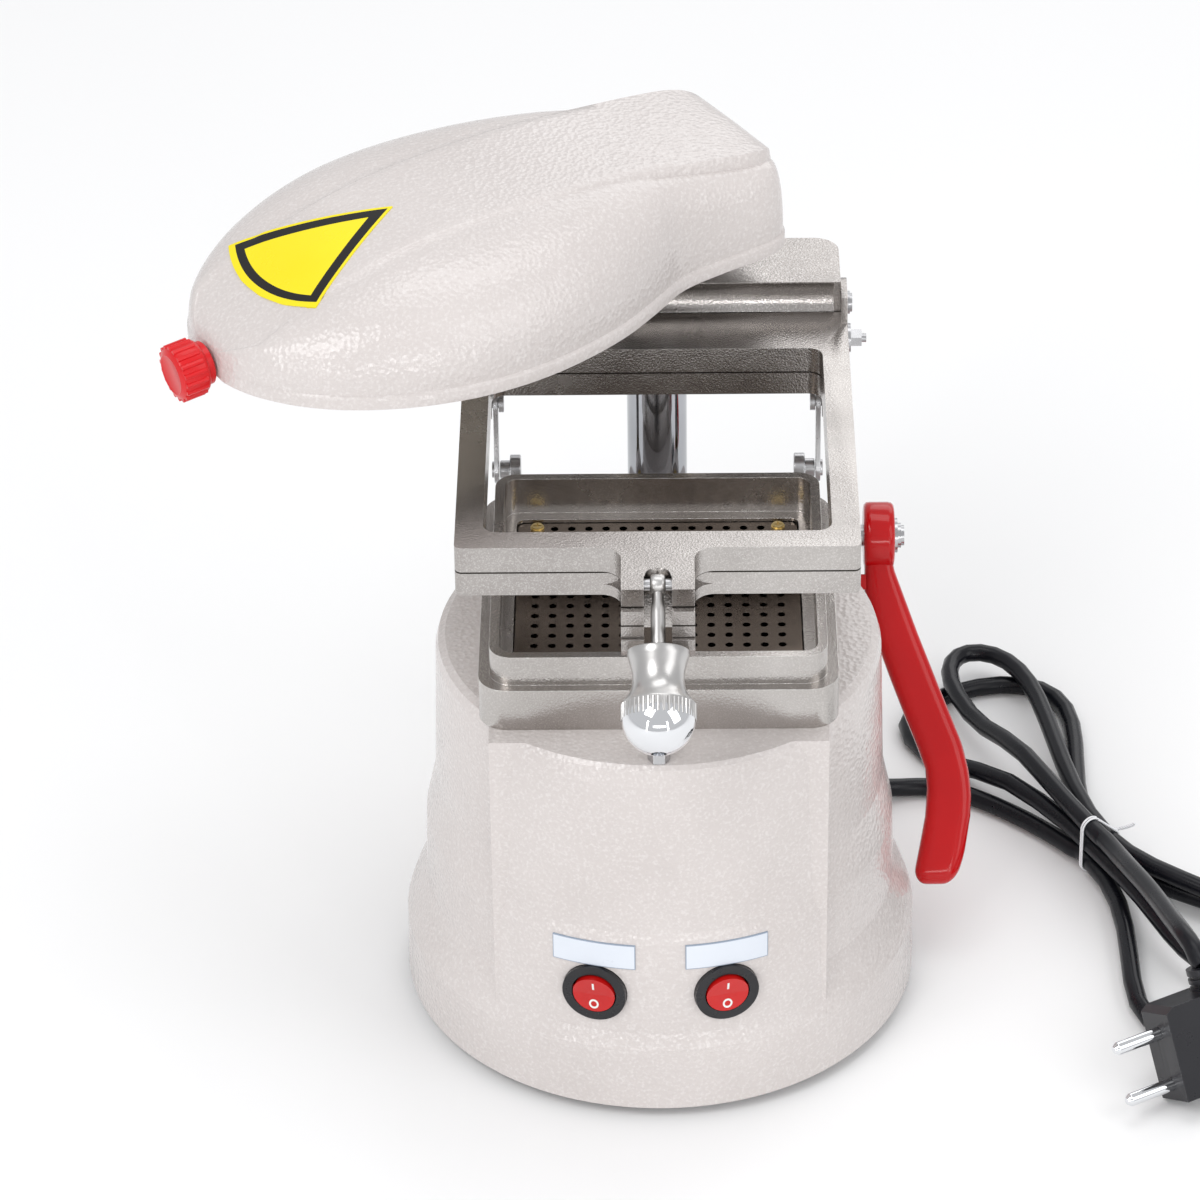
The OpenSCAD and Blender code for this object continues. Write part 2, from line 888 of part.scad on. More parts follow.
// Upper plate, hinged to the block by an ear each side
module upper_frame() {
    color(nickel)
        difference() {
            union() {
                translate([0, (frame_y + block_y - 0.4) / 2, seam_z + gap])
                    linear_extrude(height = frame_z - seam_z - gap)
                        plan_box(frame_hw, (block_y - 0.4 - frame_y) / 2, 2.5);
                tongue_body(seam_z + gap, frame_z, tongue_y);
                slab(tongue_hw, tongue_y, frame_y - 0.2, tongue_z, seam_z + 1);
                both_sides()
                    front_fillet(seam_z + gap, frame_z);
                both_sides() {
                    rod_x(ear_r, block_hw + gap, frame_hw, hinge_y, hinge_z);
                    translate([block_hw + gap, 76, seam_z + gap])
                        cube([frame_hw - block_hw - gap, 12, hinge_z + ear_r - seam_z - gap]);
                    translate([block_hw + gap, 80, seam_z + 0.7])
                        cube([frame_hw - block_hw - gap, 11, 9.4]);
                }
            }
            window(seam_z);
            both_sides()
                rod_x(hinge_r + run, block_hw - 1, frame_hw + 1, hinge_y, hinge_z);
            tongue_slot();
            rod_x(2, -12.5, 12.5, eye_y, eye_z);
            rod_x(1.6, frame_hw - 8.5, frame_hw + 1, 74.2, 223, 24);
            translate([-20, tongue_y, 223.7])
                rotate([23.8 - 90, 0, 0])
                    translate([0, -10, 0])
                        cube([40, 20, 8]);
        }
}

module clamp_pin() {
    color(steel)
        rod_x(2, -12.2, 12.2, eye_y, eye_z);
}

module side_screw() {
    color(steel) {
        rod_x(5.2, frame_hw, frame_hw + 1.1, 74.2, 223);
        rod_x(3.4, frame_hw + 1, frame_hw + 5, 74.2, 223, 6);
        rod_x(1.6, frame_hw - 8.5, frame_hw + 6.7, 74.2, 223, 24);
    }
}

module on_clamp() {
    translate([0, eye_y, eye_z])
        rotate([clamp_rot, 0, 0])
            children();
}

module clamp_bolt() {
    color(steel)
        difference() {
            union() {
                rod_x(eye_r, -4.3, 4.3, eye_y, eye_z);
                on_clamp()
                    translate([0, 0, 1])
                        cylinder(r = 2.5, h = ball_s - 5);
            }
            rod_x(2 + run, -6, 6, eye_y, eye_z);
        }
}

// Turned knob with a knurled ring, on the bolt's thread
module clamp_knob() {
    color(steel)
        on_clamp()
            difference() {
                union() {
                    rotate_extrude($fn = 48)
                        polygon([[0, flat_s], [10.2, flat_s], [10.4, flat_s + 0.3], [10.4, 24.5],
                                 [9.4, 28], [8.65, 33], [9.3, 37], [12.2, 41],
                                 [12.6, ring_s], [12.6, ring_s + ring_w], [0, ring_s + ring_w]]);
                    for (a = [0:12:348])
                        rotate([0, 0, a])
                            translate([12.3, 0, ring_s + 0.4])
                                cylinder(r = 0.8, h = ring_w - 0.8, $fn = 13);
                }
                translate([0, 0, 20])
                    cylinder(r = 2.5 + run, h = ball_s - 4 - 20 + 0.2);
                translate([0, 0, ball_s])
                    sphere(r = ball_r, $fn = 48);
            }
}

module clamp_ball() {
    color(chrome)
        on_clamp()
            difference() {
                translate([0, 0, ball_s])
                    sphere(r = ball_r, $fn = 48);
                translate([0, 0, ball_s + ball_r - 4])
                    cylinder(r = 2.7, h = 8, $fn = 32);
                translate([0, 0, ball_s - ball_r - 1])
                    cylinder(r = 2.5 + run, h = ball_r - 2.8);
            }
}

module links() {
    color(steel)
        both_sides()
            difference() {
                union() {
                    rod_x(5, link_x, link_x + link_t, link_y, link_z);
                    rod_x(5, link_x, link_x + link_t, shaft_y, shaft_z + crank_r);
                    translate([link_x, link_y, link_z])
                        rotate([link_lean, 0, 0])
                            translate([0, -4.5, -26.77])
                                cube([link_t, 9, 26.77]);
                    rod_x(3, link_x + link_t - eps, link_x + 2.65, shaft_y, shaft_z + crank_r);
                }
                rod_x(link_r + run, link_x - 1, link_x + 3, link_y, link_z);
            }
}

module cross_shaft() {
    color(steel)
        difference() {
            union() {
                rod_x(shaft_r, -crank_x - crank_t, 87.4, shaft_y, shaft_z);
                rod_x(6.2, 68, 72, shaft_y, shaft_z);
            }
            rod_x(1.8, 76, 88, shaft_y, shaft_z, 24);
        }
}

module cranks() {
    color(steel)
        both_sides()
            difference() {
                union() {
                    rod_x(8, crank_x, crank_x + crank_t, shaft_y, shaft_z);
                    rod_x(5.5, crank_x, crank_x + crank_t, shaft_y, shaft_z + crank_r);
                    translate([crank_x, shaft_y - 5, shaft_z])
                        cube([crank_t, 10, crank_r]);
                    rod_x(3.4, crank_x + crank_t - eps, link_x - 0.35, shaft_y,
                          shaft_z + crank_r);
                }
                rod_x(shaft_r, crank_x - 1, crank_x + crank_t + 1, shaft_y, shaft_z);
            }
}

module on_lever() {
    translate([0, shaft_y, shaft_z])
        rotate([90 - lever_deg, 0, 0])
            children();
}

module lever() {
    color(red)
        difference() {
            union() {
                on_lever()
                    linear_extrude(height = lever_t, center = true)
                        polygon([for (p = concat(lever_in, lever_out)) [p[0], -p[1]]]);
                rod_x(12.5, 75.8, 87.4, shaft_y, shaft_z);
                on_lever()
                    translate([72.9, -20.2, -4.15])
                        cube([4, 5.7, 8.35]);
            }
            rod_x(shaft_r, 70, 90, shaft_y, shaft_z);
        }
}

module lever_screw() {
    color(steel) {
        rod_x(6.4, 87.4, 88.5, shaft_y, shaft_z);
        translate([88.4, shaft_y, shaft_z])
            rotate([0, 90, 0])
                pan_head(4.6, 2.6);
        rod_x(1.8, 77, 88.5, shaft_y, shaft_z, 24);
    }
}

module on_heater() {
    translate([0, post_y, 0])
        rotate([0, 0, -swing_deg])
            children();
}

// Bracket: hub on the column, plate under the cover, flange for the knob's stem
module heater_bracket() {
    color(steel)
        on_heater()
            difference() {
                union() {
                    translate([0, 0, 245.3])
                        cylinder(r = 17, h = 37.4);
                    translate([-33, -148, 270])
                        cube([66, 172, 2.5]);
                    translate([-14, -150, 257.5])
                        cube([28, 3, 15]);
                    for (sx = [-1, 1], u = [34, 128])
                        translate([sx * 16, -u, 272])
                            cylinder(r = 4, h = u < 100 ? 22.3 : 15.9, $fn = 32);
                }
                translate([0, 0, 245])
                    cylinder(r = 13, h = 38);
                on_stem()
                    translate([0, 0, -10])
                        cylinder(r = 3, h = 60, $fn = 32);
                on_heater_screws()
                    translate([0, 0, 269])
                        cylinder(r = 2, h = 5, $fn = 24);
            }
}

module on_heater_screws() {
    for (sx = [-1, 1], u = [60, 132])
        translate([sx * 26, -u, 0])
            children();
}

// Stem axis: from the bracket's flange out through the nose
module on_stem() {
    translate([0, -146, dome_z + 5.8])
        rotate([94, 0, 0])
            children();
}

module hub_bush() {
    color(brass)
        translate([0, post_y, 245.3])
            difference() {
                cylinder(r = 13, h = 37.4);
                translate([0, 0, -1])
                    cylinder(r = post_r + run, h = 40);
            }
}

function band(k) = min(30 - 8 * (st_u[k] - neck_u) / (nose_u - neck_u), 0.72 * st_w[k]);

// Half of a cross-section, edge to middle, for a half width, height, band and step
function half_cut(w, h, b, st) = concat(
    [[w, 0], [w, lip_h], [w - lip_t, lip_h + 0.5]],
    [for (a = [15:15:75]) let(m = w - lip_t - b) [b + m * pow(cos(a), 0.9), lip_h + 0.5
        + (h - st - lip_h - 0.5) * pow(sin(a), 0.9)]],
    [[b, h - st], [b - 1.2, h - 0.35]]);

function full_cut(c, top) = concat([for (q = c) [-q[0], q[1]]], [[0, top]],
    [for (i = [len(c) - 1:-1:0]) c[i]]);

function outer_cut(k) = full_cut(half_cut(st_w[k], st_h[k], band(k), st_s[k]), st_h[k]);

function inner_cut(k) = full_cut(
    [for (q = half_cut(st_w[k] - skin - 0.6, st_h[k] - skin, band(k) - skin, st_s[k]))
        [q[0], q[1]]], st_h[k] - skin);

// Distance of station k's inner cut, kept in from both ends
function inner_u(k) = max(neck_u + skin, min(nose_u - skin - 2, st_u[k]
    + (k < 3 ? skin : k > 20 ? -skin : 0)));

module shell() {
    n = len(outer_cut(0));
    m = len(st_u);
    pts = concat([for (k = [0:m - 1]) for (q = outer_cut(k)) [q[0], -st_u[k], q[1]]],
                 [for (k = [0:m - 1]) for (q = inner_cut(k)) [q[0], -inner_u(k), q[1]]]);
    base = n * m;
    h = (n - 1) / 2;
    polyhedron(points = pts, faces = concat(
        [for (k = [0:m - 2], j = [0:n - 2]) [k * n + j, k * n + j + 1, (k + 1) * n + j + 1]],
        [for (k = [0:m - 2], j = [0:n - 2]) [k * n + j, (k + 1) * n + j + 1, (k + 1) * n + j]],
        [for (k = [0:m - 2], j = [0:n - 2])
            [base + k * n + j, base + (k + 1) * n + j + 1, base + k * n + j + 1]],
        [for (k = [0:m - 2], j = [0:n - 2])
            [base + k * n + j, base + (k + 1) * n + j, base + (k + 1) * n + j + 1]],
        [for (j = [0:h - 1]) [j, n - 1 - j, n - 2 - j]],
        [for (j = [0:h - 2]) [j, n - 2 - j, j + 1]],
        [for (j = [0:h - 1]) [base + j, base + n - 2 - j, base + n - 1 - j]],
        [for (j = [0:h - 2]) [base + j, base + j + 1, base + n - 2 - j]],
        [for (j = [0:h - 1]) (m - 1) * n * [1, 1, 1] + [j, n - 2 - j, n - 1 - j]],
        [for (j = [0:h - 2]) (m - 1) * n * [1, 1, 1] + [j, j + 1, n - 2 - j]],
        [for (j = [0:h - 1]) (base + (m - 1) * n) * [1, 1, 1] + [j, n - 1 - j, n - 2 - j]],
        [for (j = [0:h - 2]) (base + (m - 1) * n) * [1, 1, 1] + [j, n - 2 - j, j + 1]],
        [for (k = [0:m - 2]) [k * n, (k + 1) * n, base + (k + 1) * n]],
        [for (k = [0:m - 2]) [k * n, base + (k + 1) * n, base + k * n]],
        [for (k = [1:m - 1]) [k * n + n - 1, base + (k - 1) * n + n - 1, base + k * n + n - 1]],
        [for (k = [1:m - 1]) [k * n + n - 1, (k - 1) * n + n - 1, base + (k - 1) * n + n - 1]],
        [[0, base, base + n - 1], [0, base + n - 1, n - 1]],
        [[(m - 1) * n, base + m * n - 1, base + (m - 1) * n],
         [(m - 1) * n, m * n - 1, base + m * n - 1]]));
}

module heater_cover() {
    color(cream)
        on_heater()
            difference() {
                translate([0, 0, dome_z])
                    shell();
                on_stem()
                    translate([0, 0, 24]) {
                        cylinder(r = 3.6, h = 30, $fn = 32);
                        translate([-3.4, -14, 0])
                            cube([6.8, 14, 30]);
                    }
            }
}

module pan_plan(hx, r) {
    translate([0, -96])
        plan_box(hx, hx, r);
}

module reflector() {
    color(chrome)
        on_heater()
            difference() {
                translate([0, 0, 256])
                    linear_extrude(height = 13.9)
                        pan_plan(45, 12);
                translate([0, 0, 255])
                    linear_extrude(height = 13.7)
                        pan_plan(43.8, 11);
                on_heater_screws()
                    translate([0, 0, 267])
                        cylinder(r = 2, h = 5, $fn = 24);
            }
}

module heater_element() {
    color(ceramic)
        on_heater()
            difference() {
                translate([0, 0, 260])
                    linear_extrude(height = 8.7)
                        pan_plan(41, 9);
                translate([0, -96, 259])
                    for (r = coil_rings)
                        difference() {
                            cylinder(r = r + 2.2, h = 5.4);
                            translate([0, 0, -1])
                                cylinder(r = r - 2.2, h = 8);
                        }
                on_heater_screws()
                    translate([0, 0, 263])
                        cylinder(r = 2, h = 8, $fn = 24);
            }
}

module heater_coil() {
    color(copper)
        on_heater()
            translate([0, -96, 262.5])
                for (r = coil_rings)
                    rotate_extrude($fn = 64)
                        translate([r, 0])
                            circle(r = 1.9, $fn = 20);
}

module bracket_screws() {
    color(steel)
        on_heater()
            on_heater_screws() {
                translate([0, 0, 272.5])
                    pan_head(3.6, 2.4);
                translate([0, 0, 263.2])
                    cylinder(r = 2, h = 9.4, $fn = 24);
            }
}

module knob_stem() {
    color(steel)
        on_heater()
            on_stem()
                translate([0, 0, -4])
                    cylinder(r = 3, h = 48, $fn = 32);
}

module heater_knob() {
    color(red)
        on_heater()
            on_stem()
                difference() {
                    union() {
                        translate([0, 0, 36.7])
                            cylinder(r = 7.9, h = 3.3);
                        translate([0, 0, 39.5])
                            cylinder(r1 = 9.6, r2 = 10.3, h = 1.5);
                        translate([0, 0, 41])
                            cylinder(r = 10.4, h = 8.6);
                        translate([0, 0, 49.6])
                            cylinder(r1 = 9.3, r2 = 7.6, h = 1);
                    }
                    for (a = [0:20:340])
                        rotate([0, 0, a])
                            translate([10.9, 0, 41.4])
                                cylinder(r = 1.3, h = 12, $fn = 20);
                    translate([0, 0, 30])
                        cylinder(r = 3, h = 14, $fn = 32);
                }
}

// Height of the cover's outside above the rim at a distance u and an offset v
function cut_height(k, v) = let(w = st_w[k] - lip_t, b = band(k), st = st_s[k],
        c = max(0, min(1, (abs(v) - b) / (w - b))))
    abs(v) <= b - 1.2 ? st_h[k] - 0.35 * abs(v) / b
    : abs(v) <= b ? st_h[k] - 0.35 - (abs(v) - b + 1.2) / 1.2 * (st - 0.35)
    : lip_h + 0.5 + (st_h[k] - st - lip_h - 0.5)
        * pow(sin(acos(pow(c, 1 / 0.9))), 0.9);

function station(u) = max([for (k = [0:len(st_u) - 2]) st_u[k] <= u ? k : 0]);

function cover_height(u, v) = let(k = station(u), f = (u - st_u[k]) / (st_u[k + 1] - st_u[k]))
    cut_height(k, v) * (1 - f) + cut_height(k + 1, v) * f;

// The film bridges the small step beside the cover's middle band
function film_height(q) = cover_height(q[1], max(0, abs(q[0]) - 2.5));

module heater_decal() {
    n = 11;
    m = len(decal_r);
    flat = [for (r = decal_r, i = [0:n - 1]) let(a = -decal_a + 2 * decal_a * i / (n - 1))
            [r * sin(a), decal_u + r * cos(a)]];
    base = n * m;
    rim = concat([for (i = [0:n - 2]) i], [for (k = [0:m - 2]) k * n + n - 1],
                 [for (i = [n - 1:-1:1]) (m - 1) * n + i], [for (k = [m - 1:-1:1]) k * n]);
    c = len(rim);
    color([0.93, 0.75, 0.1])
        on_heater()
            translate([0, 0, dome_z])
                polyhedron(points = concat(
                    [for (q = flat) [q[0], -q[1], film_height(q) + 0.7]],
                    [for (q = flat) [q[0], -q[1], film_height(q) + 0.3]]),
                    faces = concat(
                    [for (k = [0:m - 2], i = [0:n - 2]) [k * n + i, k * n + i + 1,
                        (k + 1) * n + i + 1]],
                    [for (k = [0:m - 2], i = [0:n - 2]) [k * n + i, (k + 1) * n + i + 1,
                        (k + 1) * n + i]],
                    [for (k = [0:m - 2], i = [0:n - 2]) [base + k * n + i,
                        base + (k + 1) * n + i + 1, base + k * n + i + 1]],
                    [for (k = [0:m - 2], i = [0:n - 2]) [base + k * n + i,
                        base + (k + 1) * n + i, base + (k + 1) * n + i + 1]],
                    [for (i = [0:c - 1]) [rim[i], base + rim[i], base + rim[(i + 1) % c]]],
                    [for (i = [0:c - 1]) [rim[i], base + rim[(i + 1) % c],
                        rim[(i + 1) % c]]]));
}

function unit(v) = v / norm(v);

function smooth(x) = let(c = min(1, max(0, x))) c * c * (3 - 2 * c);

// How far a strand is drawn up to the tie at an angle psi of its pass
function waist(psi) = 1 - smooth((sin(psi) - 0.375) / 0.332);

function axis_way(p) = unit((lobe_1 + lobe_2) / 2
    + p / sqrt(p * p + lobe_bend * lobe_bend) * (lobe_2 - lobe_1) / 2);

function hank_point(k, psi) = let(a = passes[k], p = a[0] * a[1] * sin(psi),
        width = psi < 90 ? a[2] : a[3],
        q = -a[0] * cos(psi) * (pair_q + width * sin(psi) * sin(psi)),
        t = axis_way(p),
        mid = tie_at + p * (lobe_1 + lobe_2) / 2
            + (sqrt(p * p + lobe_bend * lobe_bend) - lobe_bend) * (lobe_2 - lobe_1) / 2,
        level = a[4] + (psi > 90 ? a[5] * waist(psi) : 0))
    [mid[0] - q * t[1], mid[1] + q * t[0],
     cord_r + tie_lift * waist(psi) + stack * level];

coil_points = [for (i = [0:48]) let(k = min(3, floor(i / 12))) hank_point(k, (i - 12 * k) * 15)];
tie_way = [axis_way(0)[0], axis_way(0)[1], 0];

// Samples along the hank's chords, to measure its least gap to itself
coil_samples = [for (i = [0:47], f = [0, 0.25, 0.5, 0.75])
    coil_points[i] * (1 - f) + coil_points[i + 1] * f];
least_gap = min([for (i = [0:191], j = [i + 9:1:191])
    norm(coil_samples[i] - coil_samples[j])]) - cord_d;
echo(least_gap = least_gap);

function ring(c, t, r, n) = let(e = unit(cross(t, [0, 0, 1])), f = cross(e, t))
    [for (j = [0:n - 1]) c + r * (cos(360 * j / n) * e + sin(360 * j / n) * f)];

// Tube through points, its two ends square to the ways t0 and t1
module tube(pts, r, n, t0, t1) {
    m = len(pts);
    rings = [for (i = [0:m - 1]) ring(pts[i], i == 0 ? t0 : i == m - 1 ? t1
             : unit(unit(pts[i + 1] - pts[i]) + unit(pts[i] - pts[i - 1])), r, n)];
    polyhedron(points = [for (g = rings) for (q = g) q], faces = concat(
        [[for (j = [0:n - 1]) j]],
        [[for (j = [n - 1:-1:0]) (m - 1) * n + j]],
        [for (i = [0:m - 2], j = [0:n - 1]) [i * n + j, (i + 1) * n + j,
            (i + 1) * n + (j + 1) % n]],
        [for (i = [0:m - 2], j = [0:n - 1]) [i * n + j, (i + 1) * n + (j + 1) % n,
            i * n + (j + 1) % n]]));
}

module cord() {
    color(black)
        tube(concat(cord_points, [coil_points[0]]), cord_r - eps, 10, [1, 0, 0], tie_way);
}

module cord_coil() {
    color(black)
        tube(coil_points, cord_r - eps, 6, tie_way, tie_way);
}

function plug_point(x, y) = plug_at
    + x * [cos(plug_turn), sin(plug_turn), 0]
    + y * [-sin(plug_turn) * cos(plug_roll), cos(plug_turn) * cos(plug_roll), sin(plug_roll)];

module cord_tail() {
    tail_end = plug_point(relief_x, relief_end);
    color(black)
        tube(concat([coil_points[48]], tail_points, [tail_end]), cord_r - eps, 10, tie_way,
             unit(plug_point(0, 0) - plug_point(0, 1)));
}

// Band of the tie, round five strands side by side and on one another
module tie_plan(r) {
    hull() {
        for (x = [-1, 1])
            translate([x * pair_q, cord_r + tie_lift])
                circle(r = r, $fn = 32);
        translate([pair_q, cord_r + tie_lift + stack])
            circle(r = r, $fn = 32);
        translate([-pair_q, cord_r + tie_lift + 2 * stack])
            circle(r = r, $fn = 32);
    }
}

module cord_tie() {
    color(white)
        translate([tie_at[0], tie_at[1], 0])
            rotate([90, 0, 90 + atan2(tie_way[1], tie_way[0])])
                translate([0, 0, -tie_w / 2])
                    linear_extrude(height = tie_w)
                        difference() {
                            tie_plan(cord_r + tie_lift - 0.15);
                            tie_plan(cord_r + 0.1);
                        }
}

module on_plug() {
    translate(plug_at)
        rotate([0, 0, plug_turn])
            rotate([plug_roll, 0, 0])
                children();
}

module plug() {
    color(black)
        on_plug()
            difference() {
                union() {
                    translate([0, 0, -9])
                        linear_extrude(height = 18)
                            polygon([[0, -15.5], [14, -15.5], [30, -6], [32, 4], [32, 17],
                                     [30, 19], [3, 19], [0, 17]]);
                    translate([relief_x, 15, 0])
                        rotate([-90, 0, 0])
                            cylinder(r = 6.4, h = relief_end - 15);
                }
                for (sy = [-1, 1])
                    translate([-1, sy * 9.5, 0])
                        rotate([0, 90, 0])
                            cylinder(r = 2.4, h = 11, $fn = 32);
                for (y = [20.5, 23.5])
                    translate([relief_x, y, 0])
                        rotate([-90, 0, 0])
                            difference() {
                                cylinder(r = 7, h = 1.2);
                                cylinder(r = 5.2, h = 1.2);
                            }
            }
}

module plug_pins() {
    color(chrome)
        on_plug()
            for (sy = [-1, 1])
                translate([0, sy * 9.5, 0])
                    rotate([0, 90, 0]) {
                        translate([0, 0, -17.6])
                            cylinder(r = 2.4, h = 27, $fn = 32);
                        translate([0, 0, -19.2])
                            cylinder(r1 = 1.2, r2 = 2.4, h = 1.6, $fn = 32);
                    }
}

pot();
bottom_plate();
feet();
foot_screws();
tray_gasket();
tray();
tray_screws();
hole_plate();
plate_screws();
post();
post_nut();
post_collar();
frame_stop();
stop_pin();
shaft_bushes();
switch_bodies();
label_plates();
motor();
motor_mount();
fan_housing();
suction_pipe();
impeller();
terminal_block();
cord_gland();
cord();
cord_coil();
cord_tail();
cord_tie();
plug();
plug_pins();
lower_frame();
carriage_bush();
hinge_screws();
link_screws();
upper_frame();
clamp_pin();
side_screw();
clamp_bolt();
clamp_knob();
clamp_ball();
links();
cross_shaft();
cranks();
lever();
lever_screw();
heater_bracket();
hub_bush();
heater_cover();
reflector();
heater_element();
heater_coil();
bracket_screws();
post_cap();
heater_knob();
knob_stem();
heater_decal();
rocker_left();
rocker_right();
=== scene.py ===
"""Bench-top sheet former: the looks of each piece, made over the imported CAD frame."""
import logging
import math
from dataclasses import dataclass, field
from enum import Enum
from typing import Callable, Dict, List, Optional, Sequence, Tuple

import bmesh
import bpy
from mathutils import Matrix, Vector


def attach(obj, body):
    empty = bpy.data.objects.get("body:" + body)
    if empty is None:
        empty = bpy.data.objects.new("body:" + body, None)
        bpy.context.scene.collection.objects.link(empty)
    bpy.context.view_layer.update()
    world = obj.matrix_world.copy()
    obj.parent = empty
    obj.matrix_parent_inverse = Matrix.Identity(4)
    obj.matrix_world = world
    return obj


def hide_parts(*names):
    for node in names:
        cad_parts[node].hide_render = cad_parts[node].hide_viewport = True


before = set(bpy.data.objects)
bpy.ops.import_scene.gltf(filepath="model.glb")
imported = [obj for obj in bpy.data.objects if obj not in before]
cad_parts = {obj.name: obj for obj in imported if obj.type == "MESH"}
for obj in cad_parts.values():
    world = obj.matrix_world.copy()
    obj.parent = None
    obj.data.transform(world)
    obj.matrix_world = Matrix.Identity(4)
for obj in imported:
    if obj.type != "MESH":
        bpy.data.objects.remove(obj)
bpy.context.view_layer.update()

log = logging.getLogger("sheet_former")
MM = 0.001
Point = Tuple[float, float, float]
Flat = Tuple[float, float]

FILM = "film"  # the UV map of a printed film
FILM_UNIT = 100.0  # millimetres in one unit of that map
EDGE_ATTR = "rounded_edge"  # the attribute that is one on rounded edges
WELD = 2e-6  # the gap, in metres, that is closed in a CAD node's copy
FLAT_ANGLE = 0.6  # the turn, in degrees, up to which two faces become one
RIB_SHARP = 40.0  # the turn, in degrees, above which a rib's edge stays sharp
AXIS_R = 1e-4  # the radius, in millimetres, of a turned piece's points on its axis

RAMP_ENDS: Flat = (0.3, 0.7)
SMUDGE_ENDS: Flat = (0.3, 0.7)
PATCH_ENDS: Flat = (0.38, 0.62)
GLINT_ENDS: Flat = (0.5, 0.68)
GLINT_FINER = 1.5  # painted glints to one cell of the grain
BROAD_SCALE = 22.0  # patches of a colour to a metre
SMUDGE_SCALE = 38.0
RUB_SHINE = 0.3  # how much smoother a rubbed edge is
COAT_ROUGH = 0.06


class Body(Enum):
    """The rigid bodies that the pieces ride on."""

    BASE = "base"
    CARRIAGE = "carriage"
    UPPER = "upper_plate"
    BOLT = "bolt"
    KNOB = "knob"
    LINKS = "link_pair"
    LEVER = "lever_set"
    HEATER = "heater"
    LEFT = "left_rocker"
    RIGHT = "right_rocker"


# Materials


class Tree:
    """Short calls for adding and joining shader or geometry nodes."""

    def __init__(self, tree: bpy.types.NodeTree) -> None:
        """Keep the tree that the nodes go into."""
        self.tree = tree

    def add(self, kind: str, **values: object) -> bpy.types.Node:
        """Add a node.

        Args:
            kind: Blender's name of the node type.
            values: properties, or inputs by name with spaces as underscores.

        Returns:
            The new node.
        """
        node = self.tree.nodes.new(kind)
        for key, value in values.items():
            if hasattr(node, key):
                setattr(node, key, value)
            else:
                node.inputs[key.replace("_", " ")].default_value = value
        return node

    def join(self, out: bpy.types.NodeSocket, into: bpy.types.NodeSocket) -> None:
        """Link an output to an input."""
        self.tree.links.new(out, into)

    def maths(self, kind: str, first: object, second: object = 0.0) -> bpy.types.NodeSocket:
        """Add a Math node.

        Args:
            kind: the operation.
            first: a number or an output.
            second: a number or an output.

        Returns:
            The node's output.
        """
        node = self.tree.nodes.new("ShaderNodeMath")
        node.operation = kind
        for place, value in enumerate((first, second)):
            if isinstance(value, (int, float)):
                node.inputs[place].default_value = value
            else:
                self.join(value, node.inputs[place])
        return node.outputs[0]

    def spread(self, value: bpy.types.NodeSocket, ends: Flat) -> bpy.types.Node:
        """Stretch a value so that two ends become nought and one.

        Args:
            value: the output to stretch.
            ends: the value at each end.

        Returns:
            The Map Range node.
        """
        node = self.add("ShaderNodeMapRange", From_Min=ends[0], From_Max=ends[1])
        self.join(value, node.inputs["Value"])
        return node

    def film_place(self) -> Tuple[bpy.types.NodeSocket, bpy.types.NodeSocket]:
        """Read the two coordinates of a film's UV map.

        Returns:
            The places across and along the film, from nought to one.
        """
        uv = self.add("ShaderNodeUVMap", uv_map=FILM)
        parts = self.add("ShaderNodeSeparateXYZ")
        self.join(uv.outputs["UV"], parts.inputs["Vector"])
        return parts.outputs["X"], parts.outputs["Y"]

    def blend(self, mask: bpy.types.NodeSocket, first: bpy.types.NodeSocket,
              second: Point) -> bpy.types.NodeSocket:
        """Mix a colour into another one.

        Args:
            mask: where the second colour shows.
            first: the first colour.
            second: the second colour.

        Returns:
            The mixed colour.
        """
        mix = self.add("ShaderNodeMix", data_type="RGBA")
        self.join(mask, mix.inputs["Factor"])
        self.join(first, mix.inputs[6])
        mix.inputs[7].default_value = (*second, 1)
        return mix.outputs[2]


def open_group(name: str, inputs: Dict[str, float],
               outputs: Sequence[str]) -> Tuple[Tree, bpy.types.Node, bpy.types.Node]:
    """Start a shader group whose sockets are numbers.

    Args:
        name: the group's name.
        inputs: the inputs' names and first values.
        outputs: the outputs' names.

    Returns:
        The group's tree, its input node and its output node.
    """
    group = bpy.data.node_groups.new(name, "ShaderNodeTree")
    kind = "NodeSocketFloat"
    for key, value in inputs.items():
        group.interface.new_socket(key, in_out="INPUT", socket_type=kind).default_value = value
    for key in outputs:
        group.interface.new_socket(key, in_out="OUTPUT", socket_type=kind)
    t = Tree(group)
    return t, t.add("NodeGroupInput"), t.add("NodeGroupOutput")


